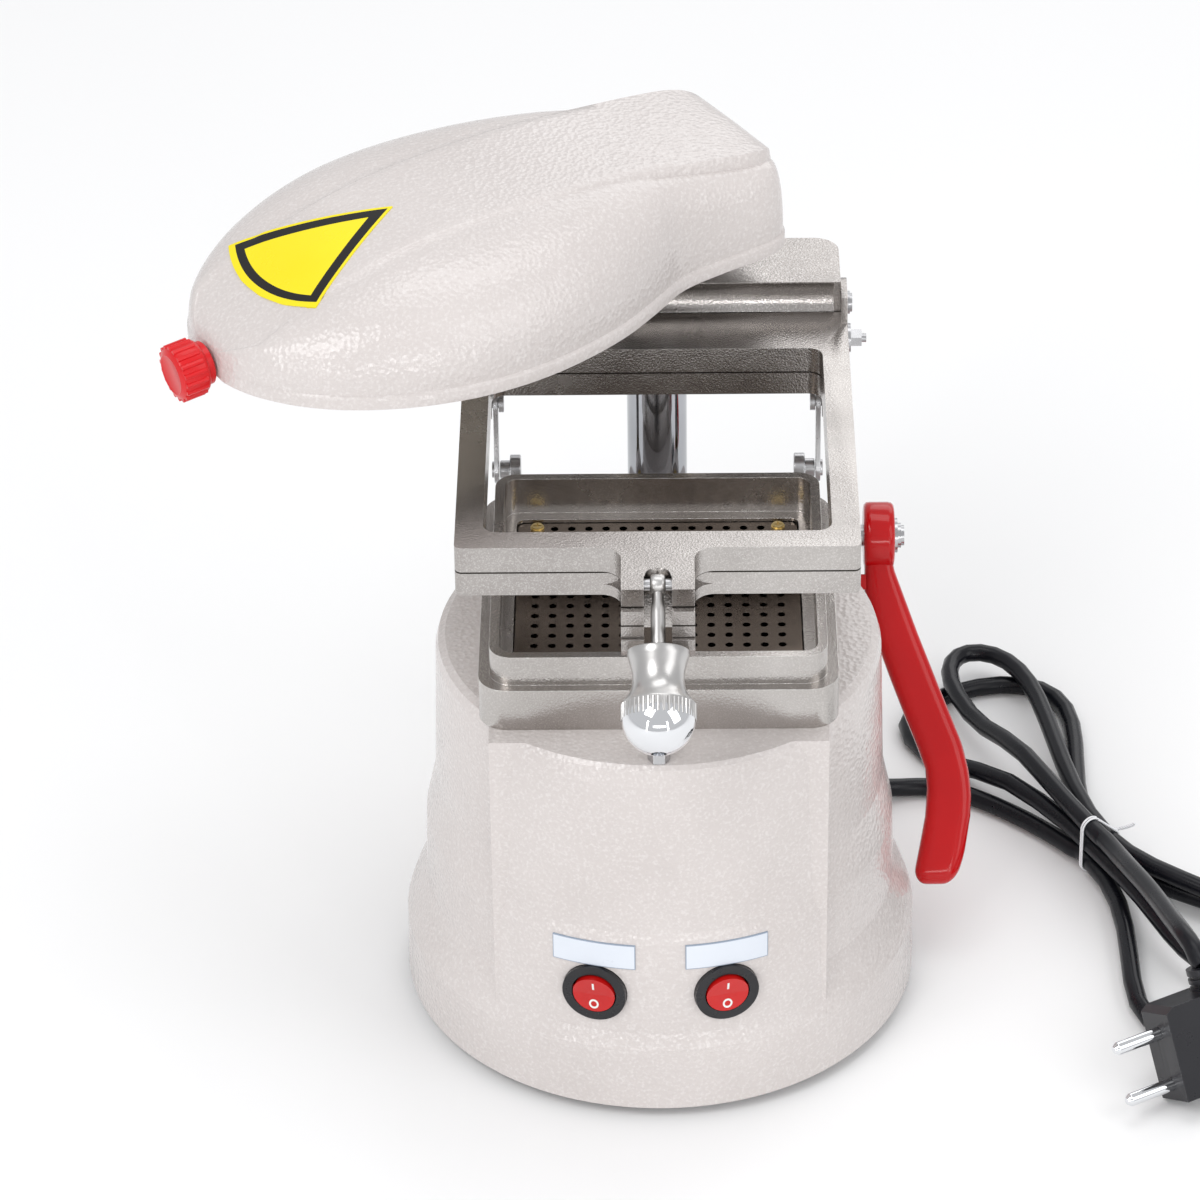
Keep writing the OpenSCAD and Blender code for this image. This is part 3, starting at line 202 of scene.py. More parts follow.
def grain_group() -> bpy.types.NodeTree:
    """Shader group: small bumps of a chosen size, as on cast or hammered skin, and bright flecks
    that are painted glints.

    Returns:
        The node group, made once.
    """
    name = "skin_grain"
    if name in bpy.data.node_groups:
        return bpy.data.node_groups[name]
    t, source, sink = open_group(name, {"Size": 1.0, "Cells": 0.5}, ("Height", "Mask", "Glints"))
    per_metre = t.maths("DIVIDE", 1000.0, source.outputs["Size"])
    cells = t.add("ShaderNodeTexVoronoi", feature="F1")
    fine = t.add("ShaderNodeTexNoise", Detail=3.0, Roughness=0.6)
    broad = t.add("ShaderNodeTexNoise", Scale=BROAD_SCALE, Detail=5.0)
    glint_noise = t.add("ShaderNodeTexNoise", Detail=2.0, Roughness=0.6)
    place = t.add("ShaderNodeTexCoord")
    for node in (cells, fine, broad, glint_noise):
        t.join(place.outputs["Object"], node.inputs["Vector"])
    for node in (cells, fine):
        t.join(per_metre, node.inputs["Scale"])
    t.join(t.maths("MULTIPLY", per_metre, GLINT_FINER), glint_noise.inputs["Scale"])
    share = source.outputs["Cells"]
    high = t.maths("MULTIPLY", cells.outputs["Distance"], share)
    rest = t.maths("MULTIPLY", fine.outputs["Fac"], t.maths("SUBTRACT", 1.0, share))
    t.join(t.maths("ADD", high, rest), sink.inputs["Height"])
    t.join(broad.outputs["Fac"], sink.inputs["Mask"])
    # painted glints: the finer noise picks out bright flecks that stand in for highlights
    glints = t.spread(glint_noise.outputs["Fac"], GLINT_ENDS)
    t.join(glints.outputs["Result"], sink.inputs["Glints"])
    return t.tree


def smudge_group() -> bpy.types.NodeTree:
    """Shader group: roughness that wanders a little, as on handled or wiped skin.

    Returns:
        The node group, made once.
    """
    name = "smudges"
    if name in bpy.data.node_groups:
        return bpy.data.node_groups[name]
    t, source, sink = open_group(name, {"Low": 0.2, "High": 0.3}, ("Roughness",))
    place = t.add("ShaderNodeTexCoord")
    noise = t.add("ShaderNodeTexNoise", Scale=SMUDGE_SCALE, Detail=6.0, Roughness=0.65)
    t.join(place.outputs["Object"], noise.inputs["Vector"])
    reach = t.spread(noise.outputs["Fac"], SMUDGE_ENDS)
    t.join(source.outputs["Low"], reach.inputs["To Min"])
    t.join(source.outputs["High"], reach.inputs["To Max"])
    t.join(reach.outputs["Result"], sink.inputs["Roughness"])
    return t.tree


def sheen_and_wear_group() -> bpy.types.NodeTree:
    """Shader group: patches along the rounded edges, where a piece's rounded-edge attribute is one,
    for a lighter colour that is partly real wear and partly painted highlight.

    Returns:
        The node group, made once.
    """
    name = "edge_wear"
    if name in bpy.data.node_groups:
        return bpy.data.node_groups[name]
    t, source, sink = open_group(name, {"Amount": 0.5, "Patch": 3.0}, ("Mask",))
    place = t.add("ShaderNodeTexCoord")
    rounded_edge = t.add("ShaderNodeAttribute", attribute_name=EDGE_ATTR)
    patches = t.add("ShaderNodeTexNoise", Detail=4.0, Roughness=0.7)
    t.join(place.outputs["Object"], patches.inputs["Vector"])
    t.join(t.maths("DIVIDE", 1000.0, source.outputs["Patch"]), patches.inputs["Scale"])
    patchy = t.spread(patches.outputs["Fac"], PATCH_ENDS)
    # lighter edge patches: real wear on some finishes, painted highlight on others
    there = t.maths("MULTIPLY", rounded_edge.outputs["Fac"], patchy.outputs["Result"])
    t.join(t.maths("MULTIPLY", there, source.outputs["Amount"]), sink.inputs["Mask"])
    return t.tree


@dataclass(frozen=True)
class Finish:
    """One finish: its colours, how rough it is and how its skin is grained."""

    name: str
    slot: str
    dark: Point
    light: Point
    rough: Tuple[float, float] = (0.25, 0.35)
    metallic: float = 0.0
    coat: float = 0.0
    grain_mm: float = 1.0
    cells: float = 0.4
    bump: float = 0.1
    depth_mm: float = 0.1
    specular: float = 0.5
    # The lighter colour below goes on rounded edges and in flecks. The flecks are painted glints.
    # The edges are real wear on most finishes, and painted highlight on the hammered paint and,
    # with some polish, on the nickel finishes.
    sheen_and_wear_colour: Point = (0.8, 0.8, 0.8)
    sheen_and_wear_share: float = 0.0
    glint: float = 0.0

    def material(self) -> bpy.types.Material:
        """Give the finish's material, made at its first use.

        Returns:
            The material.
        """
        made = bpy.data.materials.get(self.name)
        if made:
            return made
        mat = bpy.data.materials.new(self.name)
        mat.use_nodes = True
        t = Tree(mat.node_tree)
        skin = mat.node_tree.nodes["Principled BSDF"]
        grain = t.add("ShaderNodeGroup", node_tree=grain_group(), Size=self.grain_mm,
                      Cells=self.cells)
        smudge = t.add("ShaderNodeGroup", node_tree=smudge_group(), Low=self.rough[0],
                       High=self.rough[1])
        ramp = t.add("ShaderNodeValToRGB")
        stops = ramp.color_ramp.elements
        for stop, place, shade in zip(stops, RAMP_ENDS, (self.dark, self.light)):
            stop.position = place
            stop.color = (*shade, 1)
        t.join(grain.outputs["Mask"], ramp.inputs["Fac"])
        colour, rough = ramp.outputs["Color"], smudge.outputs["Roughness"]
        # Painted glints: bright flecks of the lighter colour, standing in for highlights on the
        # grained skin.
        if self.glint:
            glints = t.maths("MULTIPLY", grain.outputs["Glints"], self.glint)
            colour = t.blend(glints, colour, self.sheen_and_wear_colour)
        # Lighter rounded edges: real wear on some finishes, painted highlight on others.
        if self.sheen_and_wear_share:
            edges = t.add("ShaderNodeGroup", node_tree=sheen_and_wear_group(), Amount=self.sheen_and_wear_share)
            mask = edges.outputs["Mask"]
            colour = t.blend(mask, colour, self.sheen_and_wear_colour)
            left = t.maths("SUBTRACT", 1.0, t.maths("MULTIPLY", mask, RUB_SHINE))
            rough = t.maths("MULTIPLY", rough, left)
        self.paint(t, skin, colour)
        t.join(rough, skin.inputs["Roughness"])
        bump = t.add("ShaderNodeBump", Strength=self.bump, Distance=self.depth_mm * MM)
        t.join(grain.outputs["Height"], bump.inputs["Height"])
        t.join(bump.outputs["Normal"], skin.inputs["Normal"])
        skin.inputs["Metallic"].default_value = self.metallic
        skin.inputs["Coat Weight"].default_value = self.coat
        skin.inputs["Coat Roughness"].default_value = COAT_ROUGH
        skin.inputs["Specular IOR Level"].default_value = self.specular
        return mat

    def paint(self, t: Tree, skin: bpy.types.Node, colour: bpy.types.NodeSocket) -> None:
        """Lead the colour into the shader."""
        t.join(colour, skin.inputs["Base Color"])


@dataclass(frozen=True)
class FramedLabel(Finish):
    """White film with a thin line round it, by the piece's own UV map."""

    line: Point = (0.30, 0.36, 0.45)
    ends: Flat = (0.489, 0.464)

    def paint(self, t: Tree, skin: bpy.types.Node, colour: bpy.types.NodeSocket) -> None:
        """Mix the line's colour in near the film's edge.

        Args:
            t: the material's tree.
            skin: the shader.
            colour: the colour without it.
        """
        off = [t.maths("ABSOLUTE", t.maths("SUBTRACT", c, 0.5)) for c in t.film_place()]
        edge = t.maths("MAXIMUM", *(t.maths("GREATER_THAN", c, e) for c, e in zip(off, self.ends)))
        t.join(t.blend(edge, colour, self.line), skin.inputs["Base Color"])


@dataclass(frozen=True)
class BorderedSector(Finish):
    """Yellow film in a sector with a dark band inside its edge."""

    band: Point = (0.012, 0.011, 0.01)
    reach: float = 55.0
    half: float = 30.5
    arc_margin: float = 2.2
    side_margin: float = 1.1
    side_share: float = 0.72
    band_width: float = 2.8

    def paint(self, t: Tree, skin: bpy.types.Node, colour: bpy.types.NodeSocket) -> None:
        """Mix the band's colour in by the distance to the sector's edges.

        Args:
            t: the material's tree.
            skin: the shader.
            colour: the colour without it.
        """
        across, along = t.film_place()
        x = t.maths("MULTIPLY", t.maths("SUBTRACT", across, 0.5), FILM_UNIT)
        y = t.maths("MULTIPLY", along, FILM_UNIT)
        radius = t.maths("SQRT", t.maths("ADD", t.maths("MULTIPLY", x, x),
                                         t.maths("MULTIPLY", y, y)))
        arc = t.maths("SUBTRACT", self.reach - self.arc_margin, radius)
        turn = t.maths("SUBTRACT", math.radians(self.half),
                       t.maths("ABSOLUTE", t.maths("ARCTAN2", x, y)))
        side = t.maths("SUBTRACT", t.maths("MULTIPLY", radius, t.maths("SINE", turn)),
                       self.side_margin)
        near = t.maths("MINIMUM", arc, t.maths("MULTIPLY", side, self.side_share))
        band = t.maths("MULTIPLY", t.maths("GREATER_THAN", near, 0.0),
                       t.maths("LESS_THAN", near, self.band_width))
        t.join(t.blend(band, colour, self.band), skin.inputs["Base Color"])


@dataclass(frozen=True)
class SeamedMetal(Finish):
    """Cast metal with a painted shade line where two plates meet, at one height in millimetres."""

    seam: float = 218.05
    seam_half: float = 0.32
    seam_shade: Point = (0.05, 0.045, 0.04)

    def paint(self, t: Tree, skin: bpy.types.Node, colour: bpy.types.NodeSocket) -> None:
        """Paint shade into the colour at the height of the seam.

        Args:
            t: the material's tree.
            skin: the shader.
            colour: the colour without it.
        """
        place = t.add("ShaderNodeTexCoord")
        parts = t.add("ShaderNodeSeparateXYZ")
        t.join(place.outputs["Object"], parts.inputs["Vector"])
        # Painted shade: the dark line at the seam's height stands in for the shadow in the gap
        # between the plates.
        off = t.maths("ABSOLUTE", t.maths("SUBTRACT", parts.outputs["Z"], self.seam * MM))
        line = t.maths("LESS_THAN", off, self.seam_half * MM)
        t.join(t.blend(line, colour, self.seam_shade), skin.inputs["Base Color"])


# Hammered paint: its lighter rounded edges and ledges are painted highlights, and its flecks are
# painted glints.
PAINT = Finish("hammered_paint", "coat", (0.585, 0.540, 0.522), (0.625, 0.580, 0.562),
               (0.10, 0.17), grain_mm=1.8, cells=0.8, bump=1.0, depth_mm=0.26,
               sheen_and_wear_colour=(0.93, 0.91, 0.90), sheen_and_wear_share=1.0, glint=0.2)
# Cast nickel: its lighter rounded edges are partly polish and partly painted highlight, its flecks
# are painted glints, and its seam line is painted shade.
NICKEL = SeamedMetal("cast_nickel", "nickel", (0.36, 0.335, 0.32), (0.50, 0.475, 0.455),
                     (0.18, 0.30), 1.0, grain_mm=0.75, cells=0.5, bump=0.9, depth_mm=0.11,
                     sheen_and_wear_colour=(0.82, 0.80, 0.78), sheen_and_wear_share=0.9, glint=0.4)
# Satin nickel: its lighter rounded edges are partly polish and partly painted highlight, and its
# flecks are painted glints.
SATIN = Finish("satin_nickel", "nickel", (0.40, 0.375, 0.355), (0.54, 0.515, 0.495),
               (0.20, 0.30), 1.0, grain_mm=0.9, cells=0.4, bump=0.8, depth_mm=0.12,
               sheen_and_wear_colour=(0.82, 0.80, 0.78), sheen_and_wear_share=0.85, glint=0.3)
TURNED = Finish("turned_steel", "steel", (0.52, 0.51, 0.50), (0.62, 0.61, 0.60), (0.26, 0.36), 1.0,
                grain_mm=0.4, cells=0.1, bump=0.1, depth_mm=0.02)
CHROME = Finish("bright_chrome", "chrome", (0.74, 0.75, 0.77), (0.82, 0.83, 0.85),
                (0.04, 0.08), 1.0, grain_mm=6.0, cells=0.0, bump=0.02, depth_mm=0.05,
                sheen_and_wear_colour=(0.9, 0.9, 0.9), sheen_and_wear_share=0.3)
# The column's chrome is a darker, bluish copy of the chrome: its colour holds painted dark
# reflections.
DARK_CHROME = Finish("column_chrome", "chrome", (0.36, 0.37, 0.39), (0.46, 0.47, 0.50),
                     (0.04, 0.08), 1.0, grain_mm=6.0, cells=0.0, bump=0.02, depth_mm=0.05)
# The hole plate's polish: its dark brown colour is painted dark reflection of the shaded tray below
# it.
MIRROR = Finish("polished_plate", "mirror_plate", (0.20, 0.165, 0.14), (0.30, 0.255, 0.22),
                (0.10, 0.18), 1.0, grain_mm=9.0, cells=0.0, bump=0.05, depth_mm=0.1,
                sheen_and_wear_colour=(0.5, 0.46, 0.42), sheen_and_wear_share=0.6)
STEEL = Finish("zinc_steel", "steel", (0.44, 0.44, 0.45), (0.58, 0.58, 0.59), (0.22, 0.34), 1.0,
               grain_mm=0.5, cells=0.1, bump=0.08, depth_mm=0.03, sheen_and_wear_colour=(0.8, 0.8, 0.8), sheen_and_wear_share=0.5)
BRASS = Finish("brass", "brass", (0.62, 0.42, 0.14), (0.74, 0.53, 0.21), (0.2, 0.34), 1.0,
               grain_mm=0.6, bump=0.08, depth_mm=0.03)
SHEET = Finish("pressed_aluminium", "aluminium", (0.60, 0.60, 0.60), (0.7, 0.7, 0.7),
               (0.25, 0.4), 1.0, grain_mm=0.8, bump=0.1, depth_mm=0.05,
               sheen_and_wear_colour=(0.85, 0.85, 0.85), sheen_and_wear_share=0.4)
RED_DIP = Finish("red_dip_coat", "red_coat", (0.46, 0.002, 0.004), (0.54, 0.004, 0.006),
                 (0.12, 0.20), coat=0.25, grain_mm=9.0, cells=0.2, bump=0.12, depth_mm=0.5,
                 specular=0.25, sheen_and_wear_colour=(0.62, 0.03, 0.03), sheen_and_wear_share=0.4)
RED_CAP = Finish("red_moulding", "red_plastic", (0.56, 0.005, 0.008), (0.66, 0.009, 0.013),
                 (0.24, 0.34), coat=0.1, grain_mm=0.8, bump=0.08, depth_mm=0.05, specular=0.3)
RED_LAMP = Finish("red_rocker", "red_plastic", (0.46, 0.004, 0.004), (0.62, 0.012, 0.010),
                  (0.08, 0.14), coat=0.3, grain_mm=5.0, bump=0.03, depth_mm=0.1, specular=0.3,
                  sheen_and_wear_colour=(0.75, 0.06, 0.05), sheen_and_wear_share=0.3)
BLACK = Finish("black_moulding", "black_plastic", (0.010, 0.010, 0.012), (0.020, 0.020, 0.023),
               (0.22, 0.34), grain_mm=0.5, bump=0.1, depth_mm=0.04, specular=0.4,
               sheen_and_wear_colour=(0.07, 0.07, 0.075), sheen_and_wear_share=0.5)
PLUG_SKIN = Finish("plug_moulding", "black_plastic", (0.008, 0.008, 0.011), (0.016, 0.016, 0.020),
                   (0.24, 0.36), grain_mm=0.6, bump=0.14, depth_mm=0.06, specular=0.4,
                   sheen_and_wear_colour=(0.06, 0.06, 0.065), sheen_and_wear_share=0.5)
SHEATH = Finish("cord_sheath", "cord", (0.004, 0.004, 0.007), (0.008, 0.009, 0.012), (0.22, 0.34),
                grain_mm=1.2, bump=0.08, depth_mm=0.05, specular=0.28)
RUBBER = Finish("black_rubber", "rubber", (0.02, 0.02, 0.02), (0.04, 0.04, 0.04), (0.6, 0.8),
                grain_mm=0.6, bump=0.2, depth_mm=0.06)
CERAMIC = Finish("refractory", "ceramic", (0.70, 0.66, 0.56), (0.80, 0.76, 0.68), (0.7, 0.85),
                 grain_mm=0.9, bump=0.4, depth_mm=0.15)
WIRE = Finish("resistance_wire", "coil_wire", (0.20, 0.15, 0.12), (0.32, 0.24, 0.19),
              (0.35, 0.5), 1.0, grain_mm=0.6, bump=0.2, depth_mm=0.05)
TIE = Finish("tie_wire", "tie_wire", (0.62, 0.63, 0.66), (0.8, 0.82, 0.84), (0.15, 0.25), 0.8,
             grain_mm=0.8, bump=0.1, depth_mm=0.05)
WHITE = Finish("white_moulding", "white_plastic", (0.78, 0.78, 0.76), (0.84, 0.84, 0.82),
               (0.3, 0.4), grain_mm=0.7, bump=0.05, depth_mm=0.03)
LABEL = FramedLabel("label_film", "label", (0.66, 0.70, 0.77), (0.71, 0.75, 0.81), (0.25, 0.35),
                    grain_mm=3.0, bump=0.04, depth_mm=0.05)
DECAL = BorderedSector("sector_film", "decal", (0.84, 0.70, 0.01), (0.90, 0.76, 0.02), (0.20, 0.30),
                       grain_mm=3.0, bump=0.04, depth_mm=0.06, specular=0.3)


# Mesh helpers


def linked(name: str, data: bpy.types.ID) -> bpy.types.Object:
    """Put an object with the given data into the scene.

    Args:
        name: its name.
        data: its mesh, light or camera.

    Returns:
        The new object.
    """
    obj = bpy.data.objects.new(name, data)
    bpy.context.scene.collection.objects.link(obj)
    return obj


def plain_mesh(obj: bpy.types.Object) -> bpy.types.Mesh:
    """Give a new mesh of the object with its modifiers applied."""
    depsgraph = bpy.context.evaluated_depsgraph_get()
    return bpy.data.meshes.new_from_object(obj.evaluated_get(depsgraph))


def circle_angles(steps: int) -> List[float]:
    """Give even angles round a circle, in radians."""
    return [math.tau * i / steps for i in range(steps)]


def settle(obj: bpy.types.Object, finish: Finish, body: Body, *nodes: str) -> bpy.types.Object:
    """Give a piece its finish, its body and the CAD nodes that it stands for.

    Args:
        obj: the piece, finished and at the origin.
        finish: what it is coated with.
        body: what it rides on.
        nodes: the CAD nodes that it replaces.

    Returns:
        The same piece.
    """
    obj.data.materials.clear()
    obj.data.materials.append(finish.material())
    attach(obj, body.value)
    if nodes:
        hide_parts(*nodes)
    log.info("%s rides on %s", obj.name, body.value)
    return obj


def from_bmesh(name: str, bm: bmesh.types.BMesh, angle: float = 32.0) -> bpy.types.Object:
    """Make an object of a bmesh, its doubles merged and its faces turned outwards.

    Args:
        name: the piece's name.
        bm: the shape, in metres; it is freed.
        angle: the angle in degrees above which an edge stays sharp.

    Returns:
        The new object.
    """
    bmesh.ops.remove_doubles(bm, verts=bm.verts, dist=1e-6)
    bmesh.ops.recalc_face_normals(bm, faces=bm.faces)
    mesh = bpy.data.meshes.new(name)
    bm.to_mesh(mesh)
    bm.free()
    mesh.shade_smooth()
    mesh.set_sharp_from_angle(angle=math.radians(angle))
    return linked(name, mesh)


def grid_bmesh(rows: Sequence[Sequence[Point]], around: bool = False,
               caps: bool = False) -> bmesh.types.BMesh:
    """Make a surface of rows of points given in millimetres.

    Args:
        rows: the rows, each with as many points.
        around: whether each row closes on itself.
        caps: whether the first and last row are closed with a face.

    Returns:
        The surface.
    """
    bm = bmesh.new()
    made = [[bm.verts.new([c * MM for c in p]) for p in row] for row in rows]
    count = len(rows[0])
    for one, two in zip(made, made[1:]):
        for i in range(count if around else count - 1):
            j = (i + 1) % count
            bm.faces.new((one[i], one[j], two[j], two[i]))
    if caps:
        bm.faces.new(made[0])
        bm.faces.new(list(reversed(made[-1])))
    return bm


def axes_of(way: Vector) -> Matrix:
    """Give a turn whose third axis lies along a way."""
    return way.normalized().to_track_quat("Z", "Y").to_matrix()


def turned(profile: Sequence[Flat], start: Point, way: Point, steps: int = 96) -> bmesh.types.BMesh:
    """Turn a profile about an axis.

    Args:
        profile: radius and distance along the axis, in millimetres.
        start: the axis's first point, in millimetres.
        way: the axis's direction.
        steps: how many faces go round.

    Returns:
        The closed shape.
    """
    turn = axes_of(Vector(way))
    base = Vector(start)
    rows = []
    for radius, along in profile:
        r = max(radius, AXIS_R)
        rows.append([tuple(base + turn @ Vector((r * math.cos(a), r * math.sin(a), along)))
                     for a in circle_angles(steps)])
    return grid_bmesh(rows, around=True, caps=True)


def lathe(name: str, profile: Sequence[Flat], start: Point, way: Point, steps: int = 96,
          angle: float = 32.0) -> bpy.types.Object:
    """Make a turned piece.

    Args:
        name: the piece's name.
        profile: radius and distance along the axis, in millimetres.
        start: the axis's first point, in millimetres.
        way: the axis's direction.
        steps: how many faces go round.
        angle: the angle above which an edge stays sharp.

    Returns:
        The turned piece.
    """
    return from_bmesh(name, turned(profile, start, way, steps), angle)


def united(name: str, parts: Sequence[bmesh.types.BMesh], angle: float = 40.0) -> bpy.types.Object:
    """Make one piece of closed shapes that run into each other.

    Args:
        name: the piece's name.
        parts: the shapes, in metres; they are freed.
        angle: the angle above which an edge stays sharp.

    Returns:
        The piece.
    """
    whole = bmesh.new()
    for part in parts:
        mesh = bpy.data.meshes.new(name + "_part")
        part.to_mesh(mesh)
        part.free()
        whole.from_mesh(mesh)
        bpy.data.meshes.remove(mesh)
    return from_bmesh(name, whole, angle)


def tube_bmesh(points: Sequence[Vector], radius: float, sides: int = 20) -> bmesh.types.BMesh:
    """Sweep a round section along points in millimetres.

    Args:
        points: the centreline.
        radius: the tube's radius in millimetres.
        sides: how many faces go round.

    Returns:
        The tube, closed at both ends.
    """
    rows = []
    side: Optional[Vector] = None
    for i, p in enumerate(points):
        way = (points[min(i + 1, len(points) - 1)] - points[max(i - 1, 0)]).normalized()
        if side is None:
            side = way.orthogonal().normalized()
        side = (side - way * side.dot(way)).normalized()
        other = way.cross(side)
        rows.append([tuple(p + radius * (math.cos(a) * side + math.sin(a) * other))
                     for a in circle_angles(sides)])
    return grid_bmesh(rows, around=True, caps=True)


def between(rows: Sequence[Tuple[float, ...]], per: int) -> List[Tuple[float, ...]]:
    """Fill in smooth rows between given ones.

    Args:
        rows: the given rows of numbers.
        per: how many steps each stretch gets.

    Returns:
        The finer rows.
    """
    first = tuple(2 * a - b for a, b in zip(rows[0], rows[1]))
    last = tuple(2 * a - b for a, b in zip(rows[-1], rows[-2]))
    wide = [first, *rows, last]
    finer = []
    for a, b, c, d in zip(wide, wide[1:], wide[2:], wide[3:]):
        for i in range(per):
            t = i / per
            finer.append(tuple(0.5 * (2 * q + (r - p) * t + (2 * p - 5 * q + 4 * r - s) * t * t
                                      + (3 * q - p - 3 * r + s) * t ** 3)
                               for p, q, r, s in zip(a, b, c, d)))
    finer.append(tuple(rows[-1]))
    return finer


def smooth_line(points: Sequence[Point], per: int = 6) -> List[Vector]:
    """Run a smooth line through points.

    Args:
        points: what it passes through.
        per: how many steps each stretch gets.

    Returns:
        The line's points.
    """
    return [Vector(p) for p in between(points, per)]


def eased(node: str, name: str, width: float, finish: Finish, body: Body,
          segments: int = 2, angle: float = 34.0) -> bpy.types.Object:
    """Copy a CAD node's solids with their edges rounded, and let the copy stand for it.

    Args:
        node: the CAD node.
        name: the new piece's name.
        width: the rounding's width in millimetres.
        finish: what it is coated with.
        body: what it rides on.
        segments: faces across a rounding.
        angle: the angle above which an edge is rounded.

    Returns:
        The rounded piece.
    """
    bm = bmesh.new()
    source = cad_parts[node]
    bm.from_mesh(source.data)
    bm.transform(source.matrix_world)
    bmesh.ops.remove_doubles(bm, verts=bm.verts, dist=WELD)
    bmesh.ops.dissolve_limit(bm, angle_limit=math.radians(FLAT_ANGLE), verts=bm.verts,
                             edges=bm.edges, delimit={"NORMAL"})
    obj = from_bmesh(name, bm, angle)
    for _ in range(2):  # the second slot marks the rounded faces
        obj.data.materials.append(finish.material())
    bevel = obj.modifiers.new("eased", "BEVEL")
    bevel.width = width * MM
    bevel.segments = segments
    bevel.limit_method = "ANGLE"
    bevel.angle_limit = math.radians(angle)
    bevel.use_clamp_overlap = True
    bevel.harden_normals = True
    bevel.material = 1
    mesh = plain_mesh(obj)
    obj.modifiers.clear()
    obj.data = mesh
    rounded_edge = mesh.attributes.new(EDGE_ATTR, "FLOAT", "CORNER")
    for face in mesh.polygons:
        for corner in face.loop_indices:
            rounded_edge.data[corner].value = float(face.material_index)
        face.material_index = 0
    return settle(obj, finish, body, node)


def dress(node: str, finish: Finish) -> None:
    """Give a CAD node that stays its material.

    Args:
        node: the node.
        finish: what it is coated with.
    """
    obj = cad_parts[node]
    if not obj.material_slots:
        obj.data.materials.append(finish.material())
    for place in obj.material_slots:
        place.material = finish.material()
    log.info("%s keeps its CAD shape", node)


def rib_tree() -> bpy.types.NodeTree:
    """Geometry nodes that set ribs round an axis, made once.

    Returns:
        The tree.
    """
    tree = bpy.data.node_groups.get("rib_ring")
    if tree:
        return tree
    tree = bpy.data.node_groups.new("rib_ring", "GeometryNodeTree")
    face = tree.interface
    face.new_socket("Geometry", in_out="INPUT", socket_type="NodeSocketGeometry")
    face.new_socket("Count", in_out="INPUT", socket_type="NodeSocketInt").default_value = 20
    for name in ("Radius", "Depth", "Width", "Length", "Base"):
        face.new_socket(name, in_out="INPUT", socket_type="NodeSocketFloat").default_value = 0.01
    face.new_socket("Material", in_out="INPUT", socket_type="NodeSocketMaterial")
    face.new_socket("Geometry", in_out="OUTPUT", socket_type="NodeSocketGeometry")
    t = Tree(tree)
    source = t.add("NodeGroupInput")
    sink = t.add("NodeGroupOutput")
    circle = t.add("GeometryNodeMeshCircle")
    t.join(source.outputs["Count"], circle.inputs["Vertices"])
    t.join(source.outputs["Radius"], circle.inputs["Radius"])
    rib = t.add("GeometryNodeMeshCylinder", fill_type="TRIANGLE_FAN")
    rib.inputs["Vertices"].default_value = 8
    t.join(source.outputs["Width"], rib.inputs["Radius"])
    t.join(source.outputs["Length"], rib.inputs["Depth"])
    place = t.add("GeometryNodeInputPosition")
    turn = t.add("FunctionNodeAlignRotationToVector", axis="X")
    t.join(place.outputs["Position"], turn.inputs["Vector"])
    size = t.add("ShaderNodeCombineXYZ", Y=1.0, Z=1.0)
    t.join(source.outputs["Depth"], size.inputs["X"])
    put = t.add("GeometryNodeInstanceOnPoints")
    t.join(circle.outputs["Mesh"], put.inputs["Points"])
    t.join(rib.outputs["Mesh"], put.inputs["Instance"])
    t.join(turn.outputs["Rotation"], put.inputs["Rotation"])
    t.join(size.outputs["Vector"], put.inputs["Scale"])
    rise = t.add("ShaderNodeCombineXYZ")
    t.join(source.outputs["Base"], rise.inputs["Z"])
    lift = t.add("GeometryNodeTransform")
    t.join(put.outputs["Instances"], lift.inputs["Geometry"])
    t.join(rise.outputs["Vector"], lift.inputs["Translation"])
    real = t.add("GeometryNodeRealizeInstances")
    t.join(lift.outputs["Geometry"], real.inputs["Geometry"])
    paint = t.add("GeometryNodeSetMaterial")
    t.join(real.outputs["Geometry"], paint.inputs["Geometry"])
    t.join(source.outputs["Material"], paint.inputs["Material"])
    t.join(paint.outputs["Geometry"], sink.inputs["Geometry"])
    return tree


@dataclass(frozen=True)
class Ribs:
    """Ribs round an axis, in millimetres; depth is a rib's depth against its width."""

    count: int
    radius: float
    depth: float
    half_width: float
    length: float
    middle: float


def rib_ring(name: str, ribs: Ribs, start: Point, way: Point, finish: Finish,
             body: Body) -> bpy.types.Object:
    """Set ribs round an axis with the rib tree, as one plain mesh.

    Args:
        name: the piece's name.
        ribs: how many there are, and their sizes.
        start: the axis's first point, in millimetres.
        way: the axis's direction.
        finish: what they are made of.
        body: what they ride on.

    Returns:
        The ring of ribs.
    """
    shell = linked(name + "_seed", bpy.data.meshes.new(name + "_seed"))
    mod = shell.modifiers.new("ribs", "NODES")
    mod.node_group = rib_tree()
    given = {"Count": ribs.count, "Radius": ribs.radius * MM, "Depth": ribs.depth,
             "Width": ribs.half_width * MM, "Length": ribs.length * MM,
             "Base": ribs.middle * MM, "Material": finish.material()}
    for item in mod.node_group.interface.items_tree:
        if item.in_out == "INPUT" and item.name in given:
            mod[item.identifier] = given[item.name]
    mesh = plain_mesh(shell)
    bpy.data.objects.remove(shell)
    mesh.transform(Matrix.Translation(Vector(start) * MM) @ axes_of(Vector(way)).to_4x4())
    mesh.shade_smooth()
    mesh.set_sharp_from_angle(angle=math.radians(RIB_SHARP))
    return settle(linked(name, mesh), finish, body)


# The heater


def film_uv(obj: bpy.types.Object, read: Callable[[Vector], Flat]) -> None:
    """Lay a UV map called film over a piece.

    Args:
        obj: the piece.
        read: gives the two coordinates of a point in millimetres.
    """
    layer = obj.data.uv_layers.new(name=FILM)
    for loop in obj.data.loops:
        layer.data[loop.index].uv = read(obj.data.vertices[loop.vertex_index].co / MM)


